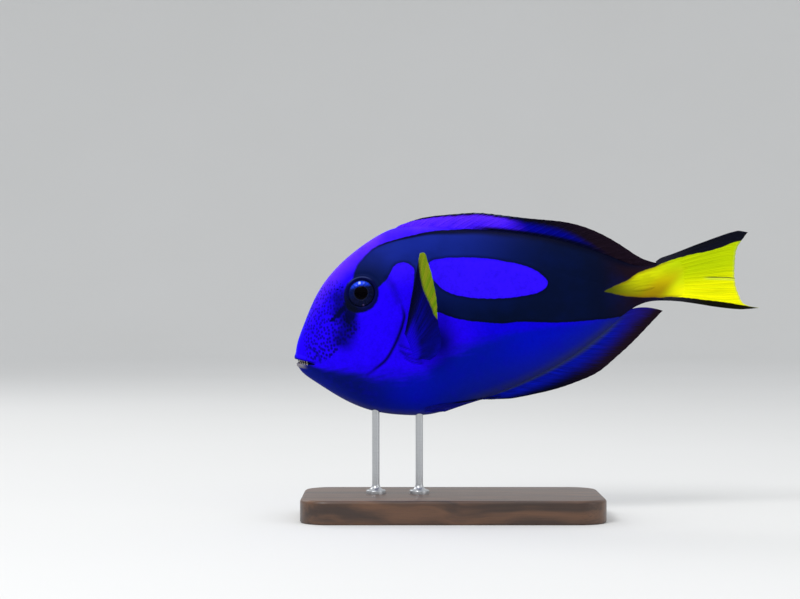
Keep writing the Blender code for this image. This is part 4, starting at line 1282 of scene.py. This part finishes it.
def skin_material():
    s = Shader("tang_skin", **BLUE_GLOSS)
    along, height, orbit = s.values("along", "height", "orbit")
    over_side = s.flat(along, height)
    waver = s.waver(0.7, 420, 3)
    mark, wedge = s["mark"] + waver, s["wedge"] + waver * 0.8
    cloud, fine = s.noise(60, 4), s.noise(900, 3, 0.6)
    streak = s.noise(1.0, 3, 0.5, s.scaled(0.14, 0.9, 1.0, over_side))
    yellow = s.paint(
        yellow_paint(s, along, height, streak),
        ((128, 92, 4), wedge.ramp(1.3, 0.1), along.ramp(137, 144), 0.45),
    )
    round_eye_dark = (s["disc"] + s.waver(0.9, 700, 3)).ramp(-0.5, 0.35)
    # painted highlight where the upper rim of the orbit catches the light
    rim_highlight_mask = (height + abs(along - EYE_X * MM) * -0.5).ramp(18, 22)
    colour = s.paint(
        skin_blue(s, along, height, cloud, fine, over_side),
        (
            skin_navy(s, along, height, cloud, mark, orbit),
            (mark / (along.ramp(48, 36) * 1.6 + 1.0)).ramp(-0.22, 0.22),
        ),
        # painted shade of the gill slit and the preopercle's groove
        ((4, 4, 46), s["gill_line"], 0.94),
        (yellow, wedge.ramp(-0.3, 0.3)),
        (s.paint((6, 10, 56), ((7, 12, 22), s["olive"])), round_eye_dark, 0.97),
        # the orbit rim's painted highlight
        ((58, 70, 120), orbit.ramp(6.6, 6.85), orbit.ramp(7.3, 7.05), rim_highlight_mask, 0.6),
        ((142, 138, 136), s["lower_lip"], 0.8),
        # painted shade in the mouth's slit and the eye sockets
        ((6, 8, 16), s["lining"]),
    )
    scales = s.bump(s.cells(1300, s.scaled(1.0, 1.0, 1.25), 0.8), 0.2, 0.00006)
    return s.finish(colour, (fine - 0.5) * 0.18 + 0.42, s.bump(s.noise(2400, 2), 0.12, 0.00003, scales))


def tooth_material():
    s = Shader("tooth_enamel", Roughness=0.25, Subsurface_Weight=0.2, Subsurface_Scale=0.0005)
    return s.finish(s.paint((150, 147, 146), ((118, 115, 116), s.noise(1500, 2))))


def eye_material():
    s = Shader("eye_wet", Roughness=0.15, Coat_Weight=0.07, Coat_Roughness=0.02, Specular_IOR_Level=0.0)
    radius, aft, up = s.values("radius", "aft", "up")
    spokes = s.noise(1.0, 3, 0.6, s.flat(s.math("ARCTAN2", up, aft) * 7.0, radius * 2.2))
    glints = []
    # the glints are painted highlights
    for light, at, reach, strength in EYE_GLINTS:
        away = s.node("ShaderNodeVectorMath", "Value", {0: s.flat(aft, up), 1: (*at, 0)}, operation="DISTANCE")
        glints.append((light, away.ramp(reach, 0.02), strength))
    return s.finish(s.paint(
        (4, 8, 34),
        ((8, 15, 54), spokes.ramp(0.35, 0.7)),
        ((10, 26, 90), aft.ramp(-0.2, -0.8), up.ramp(-0.6, 0.3), 0.5),
        # painted highlight across the top of the iris
        ((26, 66, 240), up.ramp(0.30, 0.72), radius.ramp(0.97, 0.84), spokes.ramp(0.2, 0.6)),
        *glints,
        ((5, 8, 24), radius.ramp(0.93, 0.99), 0.6),
        ((60, 66, 90), radius.ramp(0.515, 0.54), radius.ramp(0.60, 0.56), 0.12),
        ((1, 0, 2), radius.ramp(0.53, 0.505)),
    ))


def fin_shader(name, **settings):
    return Shader(name, Subsurface_Weight=0.15, Subsurface_Scale=0.0006, Subsurface_Radius=(0.5, 0.5, 0.5), **settings)


def fin_streak(s, across=5.0, along=1.6, detail=3, roughness=0.55):
    """Streaks along the rays of a fin."""
    place, out = s.values("place", "out")
    return s.noise(1.0, detail, roughness, s.flat(place * across, out * along))


def fin_grain(s, strength=0.25):
    """Fine cross joints of the rays and streaks of the membrane, as a normal."""
    joints = s.math("SINE", s["out"] * 320.0) * s["ridge"].ramp(0.5, 0.9)
    return s.bump(joints * 0.35 + fin_streak(s, 9.0, 4.0, 2, 0.5), strength, 0.00006)


def dorsal_material():
    s = fin_shader("dorsal_membrane", Roughness=0.42, **BLUE_GLOSS)
    along, up = s.values("along", "up")
    streak, broad = fin_streak(s), fin_streak(s, 1.7, 0.9, 2)
    blue = s.paint(
        (44, 6, 246),
        ((70, 26, 254), broad.ramp(0.35, 0.65)),
        (ROYAL_BLUE, along.ramp(70, 54)),
        (VIOLET, s["violet"], 0.9),
        ((34, 4, 226), streak.ramp(0.55, 0.30), along.ramp(56, 70) * 0.30 + 0.15),
        ((4, 3, 150), along.ramp(97, 108.5)),
        ((2, 4, 124), along.ramp(106, 118)),
        ((9, 10, 56), along.ramp(122, 140)),
        ((3, 4, 30), up.ramp(0.26, 0.04), along.ramp(80, 92)),
    )
    black = s.paint(
        FIN_BLACK,
        ((24, 14, 20), along.ramp(104, 140)),
        ((38, 26, 36), streak.ramp(0.5, 0.8), 0.4),
    )
    edge = s["border"] + (streak - 0.5) * 0.35
    pale = fin_streak(s, 2.6, 1.0, 2, 0.5).ramp(0.44, 0.58)
    tips = s["from_edge"].ramp(1.3, 0.4) * (along.ramp(70, 80) * along.ramp(112, 94))
    colour = s.paint(
        blue,
        (black, edge.ramp(along.ramp(94, 110) * -0.26 - 0.10, 0.08)),
        ((96, 110, 140), tips, pale * 0.75),
    )
    return s.finish(colour, None, fin_grain(s))


def anal_material():
    s = fin_shader("anal_membrane", Roughness=0.42, **BLUE_GLOSS)
    along, up = s.values("along", "up")
    streak, broad = fin_streak(s, 6.0, 1.2), fin_streak(s, 2.0, 0.8, 2)
    olive = s.paint((40, 50, 76), ((52, 60, 74), streak))
    blue = s.paint(
        (6, 14, 128),
        ((5, 22, 182), streak.ramp(0.35, 0.68)),
        ((7, 16, 126), broad.ramp(0.6, 0.35), 0.4),
        ((28, 20, 112), along.ramp(132, 152)),
        (olive, up.ramp(0.20, 0), along.ramp(146, 132), 0.8),
    )
    black = s.paint(FIN_BLACK, ((27, 15, 22), along.ramp(104, 138)))
    edge = s["border"] + (streak - 0.5) * 0.75
    colour = s.paint(
        blue,
        (black, edge.ramp(-0.46, along.ramp(108, 128) * 0.12 + 0.14)),
        ((58, 48, 40), s["from_edge"].ramp(0.35, 0.1), 0.35),
    )
    return s.finish(colour, None, fin_grain(s))


def tail_material():
    s = fin_shader("tail_membrane", Roughness=0.45, Specular_IOR_Level=0.07, Specular_Tint=(1.0, 1.0, 0.3, 1.0))
    along, height, place, out = s.values("along", "height", "place", "out")
    streak = fin_streak(s, 3.0, 1.0)
    past = place + (TAIL_SLIT_RISE - TAIL_SLIT_AT) + out * -TAIL_SLIT_RISE
    slit_starts = out.ramp(TAIL_SLIT_START, TAIL_SLIT_START + 0.12)
    yellow = s.paint(
        yellow_paint(s, along, height, streak),
        ((150, 170, 2), s["ridge"].ramp(0.7, 0), along.ramp(162, 178), 0.12),
        ((140, 166, 2), fin_streak(s, 1.3, 0.5, 2).ramp(0.46, 0.36), along.ramp(166, 184), 0.30),
        # painted highlight just below the tail's pleat, and painted shadow in it
        ((190, 220, 90), abs(past - 0.32).ramp(0.26, 0.05), slit_starts, 0.5),
        ((70, 84, 40), abs(past).ramp(0.17, 0.08), slit_starts, 0.85),
        ((190, 206, 110), s["from_edge"].ramp(1.1, 0.2), 0.35),
    )
    black = s.paint(
        (4, 6, 24),
        ((8, 13, 46), streak.ramp(0.4, 0.7), 0.5),
        ((7, 6, 5), height.ramp(0, -8)),
        ((36, 36, 52), along.ramp(178, 162), 0.65),
    )
    edge = s["border"] + s.waver(0.5, 500, 3)
    return s.finish(s.paint(yellow, (black, edge.ramp(-0.18, 0.22))), None, fin_grain(s, 0.3))


def pectoral_material():
    s = fin_shader("pectoral_membrane", Roughness=0.5, Specular_IOR_Level=0.02)
    out, place = s.values("out", "place")
    streak, broad = fin_streak(s, 4.0, 1.4), fin_streak(s, 1.1, 0.6, 2)
    edge = s["yellow"] + s.waver(0.5, 500, 3)
    dark = s.paint(
        (3, 4, 90),
        ((5, 3, 142), broad.ramp(0.35, 0.65)),
        ((2, 3, 70), streak.ramp(0.6, 0.35), 0.30),
        ((20, 2, 206), out.ramp(0.40, 0.12)),
        ((3, 5, 60), out.ramp(0.45, 0.80), place.ramp(9.5, 7), 0.7),
        ((3, 5, 42), place.ramp(3.2, 1.4), out.ramp(-0.05, 0.12), 0.95),
        ((2, 5, 108), place.ramp(8.5, 10.5), out.ramp(0.30, 0.60), 0.8),
        ((8, 5, 158), s["from_edge"].ramp(4.5, 0.5), place.ramp(10.5, 12.5), 0.75),
    )
    yellow = s.paint(
        (134, 146, 26),
        ((104, 142, 14), broad.ramp(0.40, 0.60)),
        ((118, 120, 28), streak.ramp(0.60, 0.38), 0.25),
        ((70, 80, 34), edge.ramp(0.9, 0.1), 0.5),
    )
    return s.finish(s.paint(dark, (yellow, edge.ramp(-0.4, 0.3))), None, fin_grain(s, 0.15))


def pelvic_material():
    s = fin_shader("pelvic_membrane", Roughness=0.42, **BLUE_GLOSS)
    colour = s.paint(
        (10, 14, 104),
        ((18, 20, 140), fin_streak(s, 4.0, 2.0).ramp(0.35, 0.7)),
        ((3, 6, 26), s["place"].ramp(0.8, 0.25), s["out"].ramp(0.30, 0.50)),
    )
    return s.finish(colour, None, fin_grain(s))


def wood_material():
    s = Shader("stand_walnut", Coat_Weight=0.25, Coat_Roughness=0.25)
    bend = s.noise(14, 3) * 0.020
    bent = s.node("ShaderNodeVectorMath", 0, {0: s.spot, 1: s.flat(0.0, bend, bend)}, operation="ADD")
    bands = s.noise(1.0, 3, 0.55, s.scaled(9, 210, 210, bent))
    pores = s.noise(1.0, 4, 0.7, s.scaled(60, 2600, 2600))
    wood = s.paint(
        (52, 34, 24),
        ((98, 66, 44), bands.ramp(0.3, 0.7)),
        ((34, 21, 15), pores.ramp(0.52, 0.72), 0.6),
    )
    return s.finish(wood, pores * 0.16 + 0.34, s.bump(pores, 0.25, 0.0001))


def steel_material():
    s = Shader("stand_brushed_steel", Metallic=1.0)
    brush = s.noise(1.0, 3, 0.6, s.scaled(300, 300, 9000))
    steel = s.paint((176, 178, 182), ((206, 208, 210), brush))
    return s.finish(steel, brush * 0.18 + 0.22, s.bump(brush, 0.15, 0.00003))


def floor_material():
    s = Shader("stage_paper", Roughness=0.85, Specular_IOR_Level=0.2)
    return s.finish(s.paint((218, 218, 216), ((222, 222, 221), s.noise(3, 2))))


# Stage, light and camera


def make_stage():
    """A pale floor that curves up all round, far outside every camera."""
    profile = [(0.0001, 0.0)] + [(r, 0.0) for r in np.linspace(0.05, FLOOR_RADIUS, 24)]
    for a in np.radians(np.linspace(4, 80, 18)):
        profile.append((FLOOR_RADIUS + FLOOR_CURVE * math.sin(a), FLOOR_CURVE * (1 - math.cos(a))))
    verts = [point for radius, height in profile for point in circle(radius, height, FLOOR_SIDES)]
    floor = new_piece("stage_floor", verts, ring_faces(len(profile), FLOOR_SIDES), Matrix.Identity(4))
    smooth_shade(floor, floor_material())


def add_light(name, place, size, watts):
    """A soft rectangular light turned to the fish."""
    lamp = bpy.data.lights.new(name, "AREA")
    lamp.shape, lamp.size, lamp.size_y = "RECTANGLE", *size
    lamp.energy = watts
    light = bpy.data.objects.new(name, lamp)
    bpy.context.scene.collection.objects.link(light)
    light.location = place
    light.rotation_euler = (Vector(LIT_MIDDLE) - Vector(place)).to_track_quat("-Z", "Y").to_euler()
    light.visible_camera = False


def light_scene():
    world = bpy.data.worlds.new("studio")
    world.use_nodes = True
    background = world.node_tree.nodes["Background"].inputs
    background["Color"].default_value = (0.95, 0.97, 1.0, 1)
    background["Strength"].default_value = 0.80
    bpy.context.scene.world = world
    for light in LIGHTS:
        add_light(*light)
    bpy.context.scene.view_settings.view_transform = "Standard"


def add_camera():
    camera = bpy.data.objects.new("camera", bpy.data.cameras.new("camera"))
    camera.data.lens, camera.data.sensor_width = CAMERA_LENS, CAMERA_SENSOR
    camera.location = CAMERA_PLACE
    camera.rotation_euler = (math.radians(90), 0, 0)
    bpy.context.scene.collection.objects.link(camera)
    bpy.context.scene.camera = camera


EYE_MATERIAL = eye_material()
PECTORAL_MATERIAL = pectoral_material()
PELVIC_MATERIAL = pelvic_material()
STEEL_MATERIAL = steel_material()


def main():
    add_camera()
    light_scene()
    make_stage()
    pieces = [make_skin(), make_teeth(), make_dorsal_fin(), make_anal_fin(), make_tail_fin()]
    for side, word in ((-1, "left"), (1, "right")):
        pieces.append(make_eye(side, word))
        pieces.append(make_pectoral_fin(side, word))
        pieces.append(make_pelvic_fin(side, word))
    pieces.append(make_base())
    for word, station in zip(("front", "rear"), ROD_STATIONS):
        pieces.append(make_rod(word, station))
    for piece in pieces:
        piece.data.transform(piece.matrix_world)
        piece.matrix_world = Matrix.Identity(4)
        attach(piece, "root")


main()
